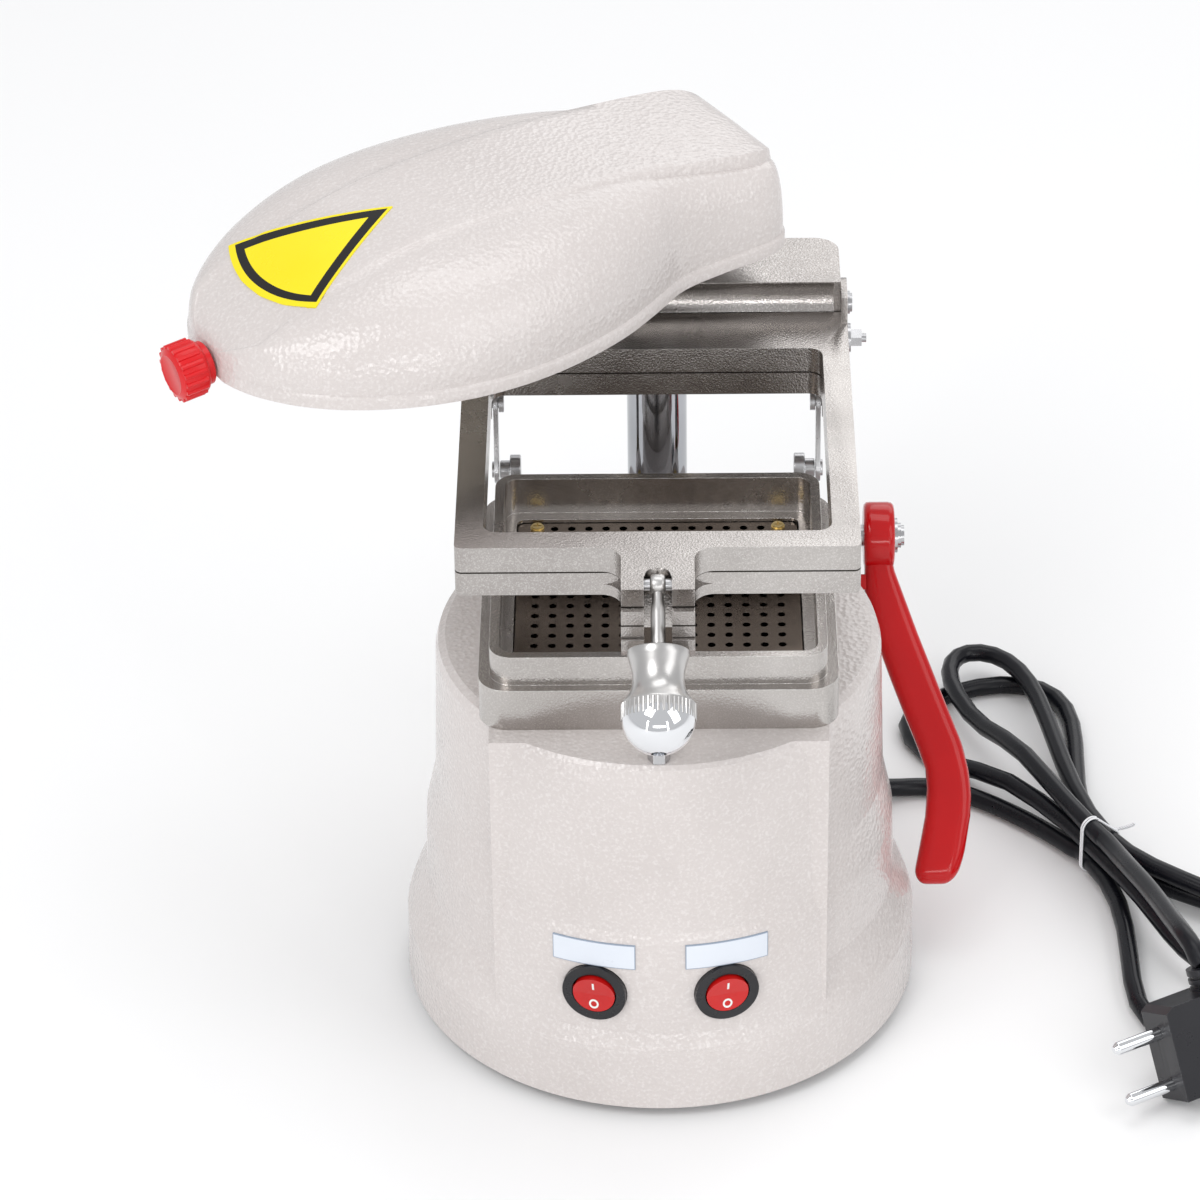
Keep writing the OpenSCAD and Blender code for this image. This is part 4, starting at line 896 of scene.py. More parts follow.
@dataclass
class HeaterSet:
    """The swinging heater's cover, sector film and knob, in the heater's own frame.

    Each station holds its distance from the column, half width, height above the rim and the
    height of the step beside the middle band. The crease holds how far inside the band's edge
    the step's points lie.
    """

    column: Point = (0.0, 100.0, 0.0)
    swing: float = -58.0
    rim: float = 255.0
    skin: float = 2.4
    lip: float = 4.5
    lip_in: float = 1.2
    lip_ease: float = 0.5
    lip_cut: float = 0.35
    slant: float = 1.25
    fullness: float = 0.9
    crown: float = 0.35
    crease: Point = (0.35, 0.85, 1.4)
    band_half: float = 30.0
    band_loss: float = 8.0
    band_share: float = 0.72
    shoulder_steps: int = 22
    near: float = -35.0
    reach: float = 217.5
    stations: Sequence[Tuple[float, ...]] = (
        (-35, 29, 30, 3.5), (-33.5, 33.5, 32.5, 4), (-30, 37.5, 34.5, 4.5), (-24, 40, 36, 5),
        (-14, 41, 37.5, 5), (-2, 41.8, 39, 4.4), (10, 43, 40.2, 3.4), (18, 45, 41, 2.6),
        (26, 49, 41.8, 2), (36, 54, 42.5, 1.6), (48, 59.3, 43, 1.4), (62, 63.6, 43.2, 1.2),
        (78, 66.8, 43, 1.2), (94, 68, 42.2, 1.2), (110, 66.9, 40.6, 1.2), (124, 63.8, 38, 1.2),
        (136, 59.6, 34.8, 1.1), (147, 54.2, 31, 0.8), (156, 48.5, 26.8, 0.4), (163.5, 42.2, 23, 0),
        (169.5, 35.8, 20, 0), (174, 29.6, 17.5, 0), (177.6, 23.4, 15.2, 0), (180.2, 17, 13, 0),
        (181.8, 11, 10.5, 0))
    apex: float = 107.0
    film_turns: Flat = (-31.6, 29.5)
    film_reaches: Flat = (57.9, 52.4)
    film_from: float = 0.4
    film_rise: float = 0.32
    film_deep: float = 0.45
    film_level: float = 1.6
    film_steps: Tuple[int, int] = (44, 38)
    stem: Point = (0.0, -146.0, 260.8)
    tilt: float = 94.0
    finer: List[Tuple[float, ...]] = field(default_factory=list)

    def place(self) -> Matrix:
        """Give the heater's own frame in millimetres."""
        turn = Matrix.Rotation(math.radians(self.swing), 4, "Z")
        return Matrix.Translation(Vector(self.column)) @ turn

    def band(self, u: float, half: float) -> float:
        """Give the half width of the raised middle band."""
        tapered = self.band_half - self.band_loss * (u - self.near) / self.reach
        return min(tapered, self.band_share * half)

    def half_cut(self, row: Tuple[float, ...], inwards: float, steps: int) -> List[Flat]:
        """Give half a cross-section from the rim to the middle.

        Args:
            row: the station.
            inwards: how far inside the cover's outside it runs.
            steps: how many steps the shoulder has.

        Returns:
            Offsets and heights above the rim.
        """
        u, half, high, step = row
        w = half - inwards * self.slant
        h = high - inwards
        b = self.band(u, half) - inwards
        base = self.lip + self.lip_ease
        points = [(w, 0.0), (w, self.lip - self.lip_ease), (w - self.lip_cut, self.lip),
                  (w - self.lip_in, base)]
        for i in range(1, steps):
            a = 0.5 * math.pi * i / steps
            points.append((b + (w - self.lip_in - b) * math.cos(a) ** self.fullness,
                           base + (h - step - base) * math.sin(a) ** self.fullness))
        foot, middle, head = self.crease
        ease = 0.2 * (step - self.crown)
        points += [(b, h - step), (b - foot, h - step + ease), (b - middle, h - self.crown - ease),
                   (b - head, h - self.crown + 0.01)]
        points += [(b * part, h - self.crown * part) for part in (0.8, 0.6, 0.4, 0.2)]
        return points

    def height(self, u: float, v: float) -> float:
        """Give the cover's height above the rim at a distance and an offset.

        Args:
            u: the distance from the column.
            v: the offset from the middle, to either side.

        Returns:
            The height in millimetres.
        """
        rows = self.finer
        k = max(i for i in range(len(rows) - 1) if rows[i][0] <= u)
        share = (u - rows[k][0]) / (rows[k + 1][0] - rows[k][0])
        found = []
        for row in rows[k:k + 2]:
            cut = self.half_cut(row, 0.0, self.shoulder_steps + 2) + [(0.0, row[2])]
            side = abs(v)
            level = cut[-1][1]
            for (x1, z1), (x2, z2) in zip(cut, cut[1:]):
                if x2 <= side <= x1 and x1 > x2:
                    level = z2 + (z1 - z2) * (side - x2) / (x1 - x2)
                    break
            found.append(level)
        return found[0] * (1 - share) + found[1] * share

    def ring(self, row: Tuple[float, ...]) -> List[Point]:
        """Give one closed ring of the cover, outside and back along the inside.

        Args:
            row: the station.

        Returns:
            The ring's points in the heater's own frame.
        """
        u = row[0]
        out = self.half_cut(row, 0.0, self.shoulder_steps)
        whole = [(-x, z) for x, z in out] + [(0.0, row[2])] + [(x, z) for x, z in reversed(out)]
        inside = self.half_cut(row, self.skin, self.shoulder_steps)
        back = inside + [(0.0, row[2] - self.skin)] + [(-x, z) for x, z in reversed(inside)]
        held = min(max(u, self.near + self.skin), self.stations[-1][0] - self.skin)
        return [(x, -u, self.rim + z) for x, z in whole] + \
               [(x, -held, self.rim + z) for x, z in back]

    def carry(self, bm: bmesh.types.BMesh) -> None:
        """Move a shape from the heater's own frame to the machine's."""
        bm.transform(Matrix.Scale(MM, 4) @ self.place() @ Matrix.Scale(1 / MM, 4))

    def film_edge(self, share: float) -> float:
        """Give the film's reach at a share of the way across it."""
        left, right = self.film_reaches
        return left + (right - left) * share

    def cover(self) -> None:
        """Make the cover as a thin shell that is closed at both ends."""
        self.finer = between(self.stations, 5)
        rows = [self.ring(row) for row in self.finer]
        bm = grid_bmesh(rows, around=True)
        bm.verts.ensure_lookup_table()
        count = len(rows[0])
        half = count // 2
        for start in (0, (len(rows) - 1) * count):
            outer = [bm.verts[start + i] for i in range(half)]
            inner = [bm.verts[start + i] for i in range(half, count)]
            bm.faces.new(outer)
            bm.faces.new(inner)
        self.carry(bm)
        settle(from_bmesh("heater_dome", bm, 48), PAINT, Body.HEATER, "heater_cover")

    def film_share(self, p: Vector) -> Flat:
        """Give a point's place on an even sector as the film's UV reads it.

        Args:
            p: the point in millimetres.

        Returns:
            Its two coordinates.
        """
        own = self.place().inverted() @ p
        v, u = own.x, -own.y - self.apex
        low, high = self.film_turns
        share = (math.degrees(math.atan2(v, u)) - low) / (high - low)
        r = math.hypot(u, v) * DECAL.reach / self.film_edge(share)
        a = math.radians(DECAL.half * (2 * share - 1))
        return (r * math.sin(a) / FILM_UNIT + 0.5, r * math.cos(a) / FILM_UNIT)

    def film(self) -> None:
        """Lay the sector film on the cover."""
        tops: List[List[Point]] = []
        low, high = self.film_turns
        outwards, across = self.film_steps
        for i in range(outwards + 1):
            row = []
            for j in range(across + 1):
                share = j / across
                r = self.film_from + (self.film_edge(share) - self.film_from) * i / outwards
                a = math.radians(low + (high - low) * share)
                v, u = r * math.sin(a), self.apex + r * math.cos(a)
                top = self.height(u, max(0.0, abs(v) - self.film_level))
                row.append((v, -u, self.rim + top + self.film_rise))
            tops.append(row)
        under = [[(x, y, z - self.film_deep) for x, y, z in row] for row in tops]
        rows = [top + list(reversed(below)) for top, below in zip(tops, under)]
        bm = grid_bmesh(rows, around=True, caps=True)
        self.carry(bm)
        obj = from_bmesh("sector_film", bm, 50)
        film_uv(obj, self.film_share)
        settle(obj, DECAL, Body.HEATER, "heater_decal")

    def knob(self) -> None:
        """Turn the ribbed knob at the nose."""
        own = self.place() @ Matrix.Translation(Vector(self.stem)) @ \
            Matrix.Rotation(math.radians(self.tilt), 4, "X")
        start = tuple(own @ Vector((0, 0, 0)))
        way = tuple(own.to_3x3() @ Vector((0, 0, 1)))
        profile = [(0, 36.7), (7.2, 36.7), (7.8, 37.2), (7.9, 39.2), (9.0, 39.7), (9.6, 40.4),
                   (9.7, 41), (9.7, 48.6), (9.2, 49.6), (7.9, 50.3), (7.2, 50.5), (6.6, 50.2),
                   (0, 50.2)]
        body = lathe("nose_knob", profile, start, way, 72)
        settle(body, RED_CAP, Body.HEATER, "heater_knob")
        ribs = Ribs(count=18, radius=9.45, depth=0.95, half_width=1.0, length=8.4, middle=45.3)
        rib_ring("nose_knob_ribs", ribs, start, way, RED_CAP, Body.HEATER)

    def build(self) -> None:
        """Make the heater's own pieces."""
        self.cover()
        self.film()
        self.knob()


# The clamp


@dataclass
class ClampSet:
    """The turned clamp knob with its knurled ring and ball, the bolt and the slot's round end."""

    eye: Point = (0.0, -85.4, 224.1)
    tilt: float = 129.0
    ball_at: float = 46.5
    ball_r: float = 12.4
    hole_r: float = 2.6
    hole_deep: float = 4.0
    ball_steps: int = 48
    slot_steps: int = 24
    slot_ease: Flat = (0.35, 0.4)
    slot_over: float = 0.3
    slot_half: float = 4.7
    slot_y: float = -81.2
    slot_z: Flat = (218.3, 227.95)

    def way(self) -> Point:
        """Give the bolt's direction."""
        a = math.radians(self.tilt)
        return (0.0, -math.sin(a), math.cos(a))

    def build(self) -> None:
        """Turn the knob, the ring's ribs and the ball, and add the bolt and the slot's end."""
        knob = [(0, 23), (9.7, 23), (10.3, 23.35), (10.4, 24.5), (10.1, 26), (9.4, 28.2),
                (8.85, 30.6), (8.65, 33), (8.8, 35.2), (9.4, 37.2), (10.6, 39.4), (12.0, 41.0),
                (12.2, 41.5), (12.2, 47.3), (11.9, 47.4), (0, 47.4)]
        settle(lathe("clamp_grip", knob, self.eye, self.way(), 96), TURNED, Body.KNOB, "clamp_knob")
        ribs = Ribs(count=44, radius=12.2, depth=0.8, half_width=0.55, length=5.2, middle=44.4)
        rib_ring("clamp_ring_ribs", ribs, self.eye, self.way(), TURNED, Body.KNOB)
        top = self.ball_at + self.ball_r
        hole = math.asin(self.hole_r / self.ball_r)
        ball = [(0, top - self.hole_deep), (2.4, top - self.hole_deep), (2.5, top - 1.2)]
        for i in range(self.ball_steps + 1):
            a = hole + (math.pi - hole) * i / self.ball_steps
            ball.append((self.ball_r * math.sin(a), self.ball_at + self.ball_r * math.cos(a)))
        settle(lathe("clamp_end_ball", ball, self.eye, self.way(), 96, 50), CHROME, Body.KNOB,
               "clamp_ball")
        self.bolt()
        self.slot_end()

    def bolt(self) -> None:
        """Make the bolt: a slim barrel on the pin and a necked rod."""
        barrel = [(0, -2.6), (2.7, -2.6), (3.3, -2.1), (3.58, -1.2), (3.58, 1.2), (3.3, 2.1),
                  (2.7, 2.6), (0, 2.6)]
        rod = [(0, 2), (1.9, 2), (1.95, 6), (2.35, 8), (2.48, 10), (2.48, 24.5), (0, 24.5)]
        parts = [turned(barrel, self.eye, (1, 0, 0), 48), turned(rod, self.eye, self.way(), 40)]
        settle(united("eye_bolt", parts), TURNED, Body.BOLT, "clamp_bolt")

    def slot_end(self) -> None:
        """Round the inner end of the slot that the bolt lies in."""
        low, high = self.slot_z
        ease, drop = self.slot_ease
        near, far = self.slot_y - self.slot_half, self.slot_y + self.slot_over
        side = self.slot_half + self.slot_over
        rows = []
        for z in (low, high - drop, high):
            back = 0.0 if z < high else -ease
            row = []
            for i in range(self.slot_steps + 1):
                a = math.pi * i / self.slot_steps
                row.append((-(self.slot_half + back) * math.cos(a),
                            near + (self.slot_half - back) * math.sin(a), z))
            row += [(side, near, z), (side, far, z), (-side, far, z), (-side, near, z)]
            rows.append(row)
        settle(from_bmesh("slot_end", grid_bmesh(rows, around=True, caps=True), 40), NICKEL,
               Body.UPPER)


# The lever


@dataclass
class LeverSet:
    """The dipped lever: a rounded slab with its hub and the tab that meets the stop.

    The two edges hold distance along the lever and place across the machine, in millimetres.
    """

    shaft: Point = (0.0, 84.2, 131.5)
    lean: float = 54.0
    half_thick: float = 5.5
    arm_from: float = 6.0
    round_from: float = 121.5
    tip: float = 129.0
    arm_steps: int = 46
    tip_steps: int = 12
    sides: int = 40
    squareness: float = 0.62
    tip_round: float = 2.4
    tip_least: float = 0.02
    tip_share: float = 0.3
    tab_size: Point = (4.4, 5.7, 8.35)
    tab_at: Point = (75.1, -17.35, 0.025)
    tab_ease: float = 0.5
    inner: Sequence[Flat] = ((6, 76.2), (20.6, 76.2), (37.7, 80), (52.2, 85.1), (65.7, 90.2),
                             (78.1, 95.2), (86.4, 98.1), (93.6, 98.7), (103.9, 97.9),
                             (114.2, 95.9), (124.5, 93.8), (129, 93.4))
    outer: Sequence[Flat] = ((6, 87), (12, 87), (24.4, 91.5), (35.8, 95.6), (46.1, 99.6),
                             (56.5, 103.6), (66.8, 107.7), (77.2, 111.8), (87.5, 114.2),
                             (95.8, 115), (104, 114.6), (117.4, 112.4), (124.6, 110.2),
                             (129, 108.8))
    hub: Sequence[Flat] = ((0, 75.9), (9.6, 75.9), (11.5, 76.2), (12.3, 77.1), (12.45, 78.4),
                           (12.45, 84.8), (12.2, 86.2), (11.3, 87.1), (9.8, 87.35), (0, 87.35))

    def edge(self, line: Sequence[Flat], along: float) -> float:
        """Give an edge's place across at a distance along the lever.

        Args:
            line: the edge.
            along: the distance.

        Returns:
            The place across in millimetres.
        """
        for (y1, x1), (y2, x2) in zip(line, line[1:]):
            if along <= y2:
                share = max(0.0, (along - y1) / (y2 - y1))
                return x1 + (x2 - x1) * share
        return line[-1][1]

    def slab(self) -> bmesh.types.BMesh:
        """Make the arm, with round sides and a rounded end, in the lever's own frame.

        Returns:
            The closed shape.
        """
        rows = []
        arm, end = self.round_from - self.arm_from, self.tip - self.round_from
        stations = [self.arm_from + arm * i / self.arm_steps for i in range(self.arm_steps + 1)]
        stations += [self.round_from + end * math.sin(0.5 * math.pi * i / self.tip_steps)
                     for i in range(1, self.tip_steps + 1)]
        for along in stations:
            low, high = self.edge(self.inner, along), self.edge(self.outer, along)
            past = max(0.0, (along - self.round_from) / end)
            left = max(0.0, 1 - past ** self.tip_round)
            shrink = max(self.tip_least, left ** (1 / self.tip_round))
            middle, half = (low + high) / 2, (high - low) / 2
            half *= self.tip_share + (1 - self.tip_share) * shrink if past < 1 else self.tip_share
            thick = self.half_thick * shrink
            row = []
            for a in circle_angles(self.sides):
                c, s = math.cos(a), math.sin(a)
                row.append((middle + half * math.copysign(abs(c) ** self.squareness, c), -along,
                            thick * math.copysign(abs(s) ** self.squareness, s)))
            rows.append(row)
        return grid_bmesh(rows, around=True, caps=True)

    def tab(self) -> bmesh.types.BMesh:
        """Make the tab, with its edges eased, in the lever's own frame.

        Returns:
            The closed shape.
        """
        bm = bmesh.new()
        made = bmesh.ops.create_cube(bm, size=1.0)["verts"]
        bmesh.ops.scale(bm, vec=Vector(self.tab_size) * MM, verts=made)
        bmesh.ops.translate(bm, vec=Vector(self.tab_at) * MM, verts=made)
        bmesh.ops.bevel(bm, geom=bm.edges[:], offset=self.tab_ease * MM, segments=2,
                        affect="EDGES")
        return bm

    def build(self) -> None:
        """Join the arm, the tab and the hub."""
        own = Matrix.Translation(Vector(self.shaft) * MM) @ \
            Matrix.Rotation(math.radians(self.lean), 4, "X")
        arm, tab = self.slab(), self.tab()
        for part in (arm, tab):
            part.transform(own)
        hub = turned(self.hub, self.shaft, (1, 0, 0), 72)
        settle(united("dipped_lever", [arm, tab, hub], 42), RED_DIP, Body.LEVER, "lever")


# The switches and their labels


@dataclass
class SwitchSet:
    """Rockers with their marks, the bezels and the blank label plates."""

    panel_r: float = 89.6
    turn: float = 14.94
    high: float = 53.0
    tip: float = 6.0
    axis_deep: float = 1.2
    fold: float = 5.0
    fold_at: Flat = (1.8, -1.6)
    stroke_size: Point = (0.7, 3.0, 0.3)
    stroke_at: Point = (0.0, 2.6, 3.42)
    ring_radii: Flat = (1.1, 1.75)
    ring_z: Flat = (3.3, 3.56)
    ring_at: float = -2.7
    ring_tall: float = 1.15
    ring_steps: int = 32
    label_turn: float = 15.2
    label_half: float = 9.6
    label_z: Tuple[float, float] = (64.5, 75.0)

    def half(self, side: int, up: int) -> Matrix:
        """Give the frame of one half of a rocker's face, in millimetres.

        Args:
            side: -1 for the left switch and 1 for the right one.
            up: 1 for the upper half and -1 for the lower one.

        Returns:
            The half face's frame.
        """
        about = Matrix.Rotation(math.radians(side * self.turn), 4, "Z")
        stand = Matrix.Translation((0, -self.panel_r, self.high)) @ \
            Matrix.Rotation(math.radians(90), 4, "X")
        tipped = Matrix.Translation((0, 0, -self.axis_deep)) @ \
            Matrix.Rotation(math.radians(self.tip), 4, "X") @ \
            Matrix.Translation((0, 0, self.axis_deep))
        folded = Matrix.Translation((0, up * self.fold_at[0], self.fold_at[1])) @ \
            Matrix.Rotation(math.radians(up * self.fold), 4, "X")
        return about @ stand @ tipped @ folded

    def marks(self, side: int, body: Body) -> None:
        """Raise the on and off marks on a rocker.

        Args:
            side: -1 for the left switch and 1 for the right one.
            body: the rocker's body.
        """
        bm = bmesh.new()
        stroke = bmesh.ops.create_cube(bm, size=1.0)["verts"]
        bmesh.ops.scale(bm, vec=self.stroke_size, verts=stroke)
        bmesh.ops.translate(bm, vec=self.stroke_at, verts=stroke)
        bmesh.ops.transform(bm, matrix=self.half(side, 1), verts=stroke)
        (inner, outer), (foot, head) = self.ring_radii, self.ring_z
        ring = []
        for i in range(self.ring_steps + 1):
            a = math.tau * i / self.ring_steps
            for r, z in ((inner, foot), (inner, head), (outer, head), (outer, foot)):
                y = self.ring_tall * r * math.sin(a) + self.ring_at
                ring.append(bm.verts.new((r * math.cos(a), y, z)))
        for i in range(self.ring_steps):
            for j in range(4):
                k = (j + 1) % 4
                bm.faces.new((ring[4 * i + j], ring[4 * i + k], ring[4 * i + 4 + k],
                              ring[4 * i + 4 + j]))
        bmesh.ops.transform(bm, matrix=self.half(side, -1), verts=ring)
        bmesh.ops.scale(bm, vec=(MM, MM, MM), verts=bm.verts)
        settle(from_bmesh(f"{body.value}_marks", bm), WHITE, body)

    def label_point(self, p: Vector) -> Flat:
        """Give a label's own coordinates at a point in millimetres.

        Args:
            p: the point.

        Returns:
            Its places across and up the label, from nought to one.
        """
        a = math.degrees(math.atan2(p.x, -p.y))
        centre = math.copysign(self.label_turn, a)
        low, high = self.label_z
        return ((a - centre) / (2 * self.label_half) + 0.5, (p.z - low) / (high - low))

    def build(self) -> None:
        """Make the switches' own pieces."""
        eased("switch_bodies", "switch_bezels", 0.7, BLACK, Body.BASE, 3)
        for side, body, node in ((-1, Body.LEFT, "rocker_left"), (1, Body.RIGHT, "rocker_right")):
            eased(node, f"{body.value}_cap", 0.5, RED_LAMP, body, 3, 3.5)
            self.marks(side, body)
        film_uv(eased("label_plates", "label_films", 0.12, LABEL, Body.BASE, 1), self.label_point)


# Castings and pressings whose CAD shape is kept, with its edges eased


@dataclass(frozen=True)
class Casting:
    """One CAD node that is shown with rounded edges."""

    node: str
    name: str
    width: float
    finish: Finish
    body: Body
    segments: int = 2
    angle: float = 34.0

    def build(self) -> None:
        """Make the rounded piece."""
        eased(self.node, self.name, self.width, self.finish, self.body, self.segments, self.angle)


def castings() -> List[Casting]:
    """List the nodes that are shown with rounded edges.

    Returns:
        The castings and pressings, in the order in which they are made.
    """
    return [Casting("pot", "cast_pot", 0.9, PAINT, Body.BASE, 3, 8),
            Casting("tray", "vacuum_tray", 0.7, SATIN, Body.BASE, 3),
            Casting("hole_plate", "polished_floor", 0.15, MIRROR, Body.BASE, 1),
            Casting("lower_frame", "lower_sheet_frame", 0.7, NICKEL, Body.CARRIAGE, 3),
            Casting("upper_frame", "upper_sheet_frame", 0.7, NICKEL, Body.UPPER, 3),
            Casting("links", "side_links", 0.25, STEEL, Body.LINKS, 1),
            Casting("cranks", "side_cranks", 0.4, STEEL, Body.LEVER, 2),
            Casting("heater_bracket", "heater_plate", 0.3, SHEET, Body.HEATER, 1),
            Casting("post_collar", "column_collar", 0.4, CHROME, Body.BASE, 2),
            Casting("frame_stop", "front_stop", 0.3, STEEL, Body.BASE, 2),
            Casting("cord_gland", "cord_relief", 0.3, BLACK, Body.BASE, 2),
            Casting("plug", "angled_plug", 0.9, PLUG_SKIN, Body.BASE, 3),
            Casting("plug_pins", "round_pins", 0.2, CHROME, Body.BASE, 1)]


# The cord and what is on it


@dataclass
class CordSet:
    """The mains lead: its run, the tied hank, the tail, the tie and the plug.

    Sizes are in millimetres, and the route is the one of the CAD source.
    """

    diameter: float = 7.0
    exit: Point = (62.0, 92.0, 18.0)
    lead: Sequence[Point] = ((62, 92, 17.8), (66, 92.3, 16.9), (73, 93.5, 13.5), (81, 96.5, 7.6),
                             (91, 100, 4.6), (103, 101.5, 3.6), (115, 98, 3.6),
                             (127, 90.5, 3.6), (138, 81.5, 3.6), (147.5, 72, 3.8), (156, 61.5, 4.4))
    tail: Sequence[Point] = ((167.2, 43.6, 20.4), (170.9, 32, 22.6), (174.5, 17, 27), (178, 3, 31),
                             (181.5, -13, 35.4), (184.5, -29, 40), (187.5, -44, 44.2),
                             (190, -52, 44.6), (191.7, -57, 42.9))
    tie: Flat = (166.0, 54.0)
    lobes: Tuple[Flat, Flat] = ((0.29, -0.957), (0.64, -0.77))
    bend: float = 25.0
    passes: Sequence[Tuple[float, ...]] = ((1, 104, 120, 70, 0, 0), (-1, 122, 65, 90, 0, 1),
                                           (1, 96, 40, 45, 1, 0), (-1, 135, 35, 30, 1, 1))
    plug_at: Point = (179.0, -83.5, 18.4)
    plug_turn: float = 29.3
    plug_roll: float = 60.0
    plug_end: Flat = (24.0, 27.0)
    pass_steps: int = 24
    parting: float = 4.0
    layer: float = 7.8
    bench: float = 3.5
    waist_rise: float = 1.3
    waist_from: float = 0.375
    waist_width: float = 0.332
    skin_in: float = 0.02
    tie_centres: Sequence[Flat] = ((-4, 4.8), (4, 4.8), (4, 12.6), (-4, 20.4))
    tie_r: float = 4.0
    tie_turns: int = 2
    tie_steps: int = 48
    tie_pitch: float = 1.1
    tie_knot: float = 50.0
    wire_r: float = 0.38
    twist_way: Point = (0.72, 0.58, 0.35)
    twist_turns: float = 4.5
    twist_long: float = 7.5
    twist_bow: float = 2.4
    twist_r: float = 0.4
    twist_steps: int = 60
    line: List[Vector] = field(default_factory=list)

    def tie_point(self, across: float, high: float, along: float) -> Vector:
        """Give a point of the tie's own frame in the machine's frame.

        Args:
            across: how far to the side of the hank it lies.
            high: its height above the bench.
            along: how far along the hank it lies.

        Returns:
            The point in millimetres.
        """
        one, two = (Vector((*way, 0)).normalized() for way in self.lobes)
        way = ((one + two) / 2).normalized()
        side = Vector((-way.y, way.x, 0))
        return Vector((*self.tie, 0)) + across * side + along * way + Vector((0, 0, high))

    def wire_tie(self) -> None:
        """Wind the wire tie twice round the hank and twist its ends together."""
        loops = []
        knot = math.radians(self.tie_knot)
        for i in range(self.tie_turns * self.tie_steps + 1):
            share = i / self.tie_steps
            a = knot + math.tau * share
            c, s = math.cos(a), math.sin(a)
            x, z = max(self.tie_centres, key=lambda p: p[0] * c + p[1] * s)
            loops.append(self.tie_point(x + self.tie_r * c, z + self.tie_r * s,
                                        share * self.tie_pitch - self.tie_pitch))
        parts = [tube_bmesh(loops, self.wire_r, 8)]
        x, z = self.tie_centres[2]
        root = self.tie_point(x + self.tie_r * math.cos(knot), z + self.tie_r * math.sin(knot), 0)
        turn = axes_of(self.tie_point(*self.twist_way) - self.tie_point(0, 0, 0))
        for phase in (0.0, math.pi):
            strand = []
            for i in range(self.twist_steps + 1):
                share = i / self.twist_steps
                a = math.tau * self.twist_turns * share + phase
                bow = self.twist_bow * math.sin(0.5 * math.pi * share)
                strand.append(root + turn @ Vector((self.twist_r * math.cos(a),
                                                    self.twist_r * math.sin(a) - bow,
                                                    self.twist_long * share)))
            parts.append(tube_bmesh(strand, self.wire_r, 8))
        settle(united("wire_tie", parts, 60), TIE, Body.BASE, "cord_tie")

    def plug_point(self, x: float, y: float) -> Vector:
        """Give a point of the plug's own plane in the machine's frame.

        Args:
            x: the distance along the plug's lower edge.
            y: the distance across the plug.

        Returns:
            The point in millimetres.
        """
        t, r = math.radians(self.plug_turn), math.radians(self.plug_roll)
        along = Vector((math.cos(t), math.sin(t), 0))
        up = Vector((-math.sin(t) * math.cos(r), math.cos(t) * math.cos(r), math.sin(r)))
        return Vector(self.plug_at) + x * along + y * up

    def hank_point(self, k: int, psi: float) -> Vector:
        """Give a point of the hank.

        Args:
            k: the pass.
            psi: how far round the pass, in degrees.

        Returns:
            The centreline's point in millimetres.
        """
        sense, length, out, back, level, rise = self.passes[k]
        s, c = math.sin(math.radians(psi)), math.cos(math.radians(psi))
        one, two = (Vector((*way, 0)).normalized() for way in self.lobes)
        p = sense * length * s
        width = out if psi < 90 else back
        q = -sense * c * (self.parting + width * s * s)
        reach = math.sqrt(p * p + self.bend ** 2)
        mid = Vector((*self.tie, 0)) + p * (one + two) / 2 + (reach - self.bend) * (two - one) / 2
        way = ((one + two) / 2 + p / reach * (two - one) / 2).normalized()
        ramp = min(1.0, max(0.0, (s - self.waist_from) / self.waist_width))
        waist = 1 - ramp * ramp * (3 - 2 * ramp)
        height = level + (rise * waist if psi > 90 else 0)
        return Vector((mid.x - q * way.y, mid.y + q * way.x,
                       self.bench + self.waist_rise * waist + self.layer * height))

    def route(self) -> List[Vector]:
        """Give the whole centreline from the gland to the plug.

        Returns:
            The centreline's points in millimetres.
        """
        last = len(self.passes) - 1
        hank = [self.hank_point(k, 180.0 * i / self.pass_steps)
                for k in range(last + 1) for i in range(self.pass_steps)]
        hank.append(self.hank_point(last, 180.0))
        before = smooth_line([*self.lead, tuple(hank[0]), tuple(hank[3])], 6)[:-6]
        end = self.plug_point(*self.plug_end)
        after = smooth_line([tuple(hank[-4]), tuple(hank[-1]), *self.tail, tuple(end)], 6)[7:]
        return before + hank[1:] + after

    def build(self) -> None:
        self.line = self.route()
        lead = from_bmesh("mains_lead", tube_bmesh(self.line, self.diameter / 2 - self.skin_in), 60)
        settle(lead, SHEATH, Body.BASE, "cord", "cord_coil", "cord_tail")
        self.wire_tie()


# Studio


@dataclass(frozen=True)
class Lamp:
    """One area light, in metres and watts: its place, two sides, power and what it points at."""

    name: str
    place: Point
    size: Flat
    power: float
    aim: Point = (0.0, 0.0, 0.1)

    def hang(self) -> None:
        """Put the light into the scene."""
        data = bpy.data.lights.new(self.name, "AREA")
        data.shape = "RECTANGLE"
        data.size, data.size_y = self.size
        data.energy = self.power
        lamp = linked(self.name, data)
        lamp.location = self.place
        away = Vector(self.place) - Vector(self.aim)
        lamp.rotation_euler = away.to_track_quat("Z", "Y").to_euler()


LAMPS = (Lamp("key", (-0.75, -0.9, 1.5), (0.8, 0.8), 9),
         Lamp("fill", (1.1, -0.7, 0.9), (0.7, 1.1), 3.5),
         Lamp("top", (0.1, 0.3, 1.6), (1.1, 0.6), 4),
         Lamp("back", (1.0, 2.3, 1.7), (2.2, 1.6), 14, (0.0, 0.0, 0.15)),
         Lamp("front", (0.1, -2.3, 0.6), (1.5, 0.2), 6),
         Lamp("left_strip", (-1.15, -1.75, 0.55), (0.12, 1.0), 3.4),
         Lamp("right_strip", (0.95, -1.9, 0.55), (0.12, 1.0), 2.4))


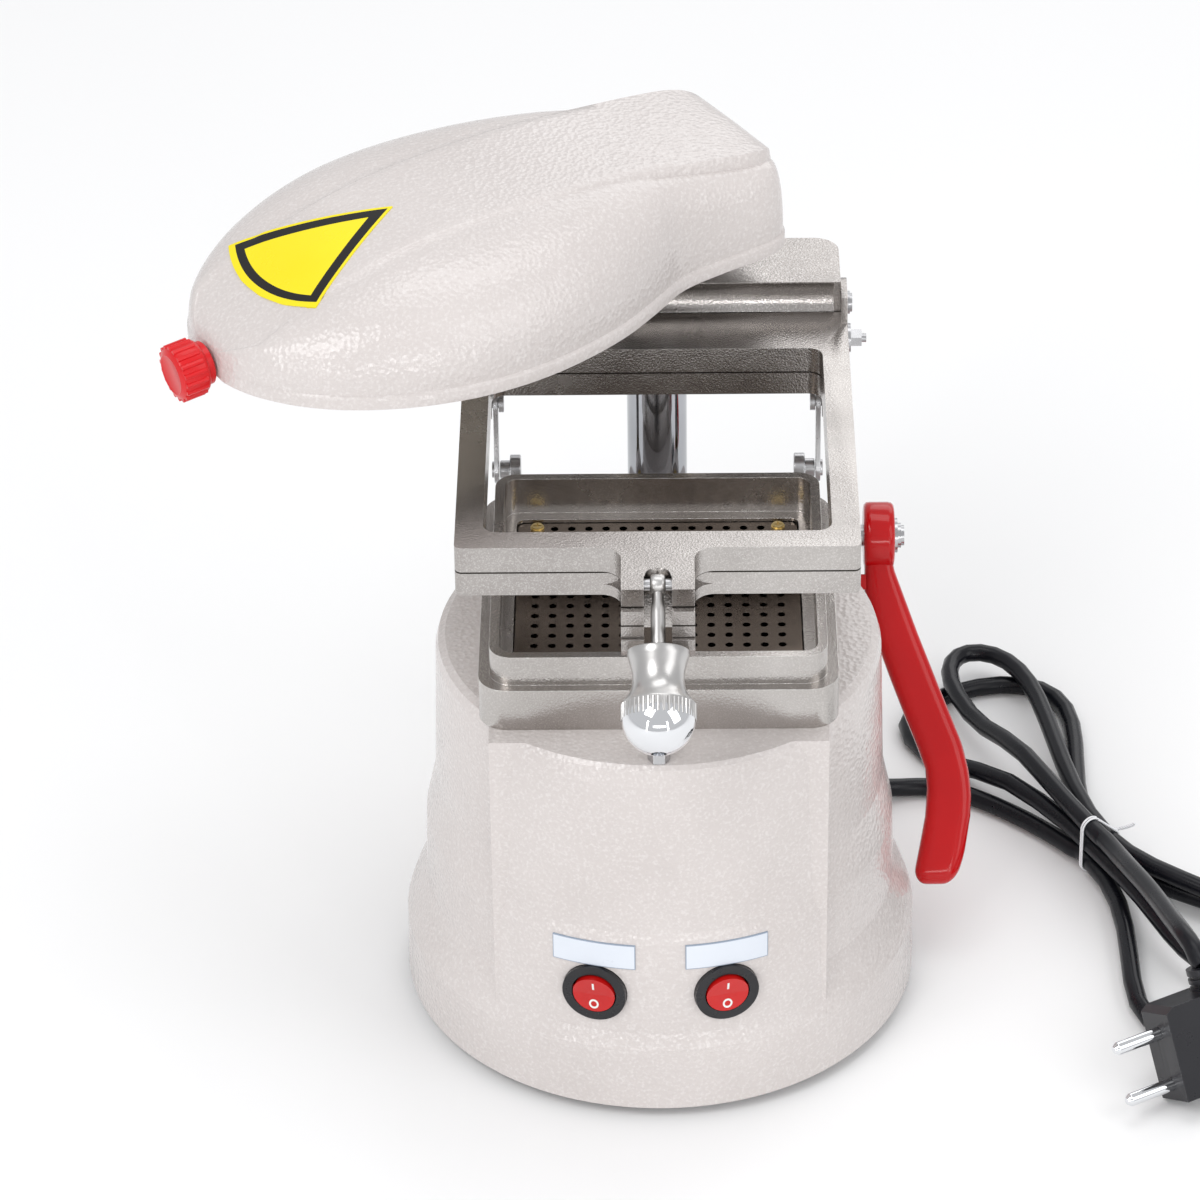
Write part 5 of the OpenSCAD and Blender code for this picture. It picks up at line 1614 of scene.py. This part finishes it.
@dataclass(frozen=True)
class Studio:
    """The floor, the surround and the camera, in metres and degrees."""

    place: Point = (0.0010, -1.5426, 1.2025)
    pitch: float = 34.04
    yaw: float = -0.80
    roll: float = -0.83
    lens: float = 157.9
    sensor: float = 36.0
    far: float = 20.0
    floor: Sequence[Point] = ((-6, -4, 0), (6, -4, 0), (6, 8, 0), (-6, 8, 0))
    shade: float = 0.92
    sky: Point = (0.98, 0.985, 1.0)
    glow: float = 0.68

    def camera(self) -> None:
        """Set the camera at the photograph's viewpoint."""
        data = bpy.data.cameras.new("view")
        data.lens = self.lens
        data.sensor_width = self.sensor
        data.clip_end = self.far
        cam = linked("view", data)
        ya, ph, ro = (math.radians(a) for a in (self.yaw, self.pitch, self.roll))
        ahead = Vector((math.sin(ya) * math.cos(ph), math.cos(ya) * math.cos(ph), -math.sin(ph)))
        right = Vector((math.cos(ya), -math.sin(ya), 0))
        up = right.cross(ahead)
        side = right * math.cos(ro) + up * math.sin(ro)
        top = up * math.cos(ro) - right * math.sin(ro)
        turn = Matrix((side, top, -ahead)).transposed().to_4x4()
        cam.matrix_world = Matrix.Translation(Vector(self.place)) @ turn
        bpy.context.scene.camera = cam

    def ground(self) -> None:
        """Lay the pale floor, which is no part of the object."""
        mesh = bpy.data.meshes.new("floor")
        mesh.from_pydata([Vector(c) for c in self.floor], [], [range(len(self.floor))])
        mat = bpy.data.materials.new("floor")
        mat.use_nodes = True
        skin = mat.node_tree.nodes["Principled BSDF"]
        skin.inputs["Base Color"].default_value = (self.shade, self.shade, self.shade, 1)
        skin.inputs["Roughness"].default_value = 0.9
        skin.inputs["Specular IOR Level"].default_value = 0.1
        mesh.materials.append(mat)
        linked("floor", mesh)

    def build(self) -> None:
        """Make the stage."""
        self.ground()
        world = bpy.data.worlds.new("surround")
        world.use_nodes = True
        glow = world.node_tree.nodes["Background"]
        glow.inputs["Color"].default_value = (*self.sky, 1)
        glow.inputs["Strength"].default_value = self.glow
        bpy.context.scene.world = world
        for lamp in LAMPS:
            lamp.hang()
        self.camera()
        bpy.context.scene.view_settings.view_transform = "Standard"


PLAIN: Dict[str, Finish] = {
    "bottom_plate": STEEL, "feet": RUBBER, "foot_screws": STEEL, "tray_gasket": RUBBER,
    "tray_screws": STEEL, "plate_screws": BRASS, "post": DARK_CHROME, "post_nut": STEEL,
    "stop_pin": STEEL, "shaft_bushes": BRASS, "motor": STEEL, "motor_mount": STEEL,
    "fan_housing": BLACK, "suction_pipe": SHEET, "impeller": BLACK, "terminal_block": WHITE,
    "carriage_bush": BRASS, "hinge_screws": STEEL, "link_screws": STEEL, "clamp_pin": STEEL,
    "side_screw": STEEL, "cross_shaft": STEEL, "lever_screw": STEEL, "hub_bush": BRASS,
    "reflector": SHEET, "heater_element": CERAMIC, "heater_coil": WIRE,
    "bracket_screws": STEEL, "post_cap": CHROME, "knob_stem": STEEL}


def main() -> None:
    """Make the whole scene."""
    logging.basicConfig(level=logging.INFO, format="%(name)s: %(message)s")
    Studio().build()
    for node, finish in PLAIN.items():
        dress(node, finish)
    for casting in castings():
        casting.build()
    HeaterSet().build()
    ClampSet().build()
    LeverSet().build()
    SwitchSet().build()
    CordSet().build()


if __name__ == "__main__":
    main()
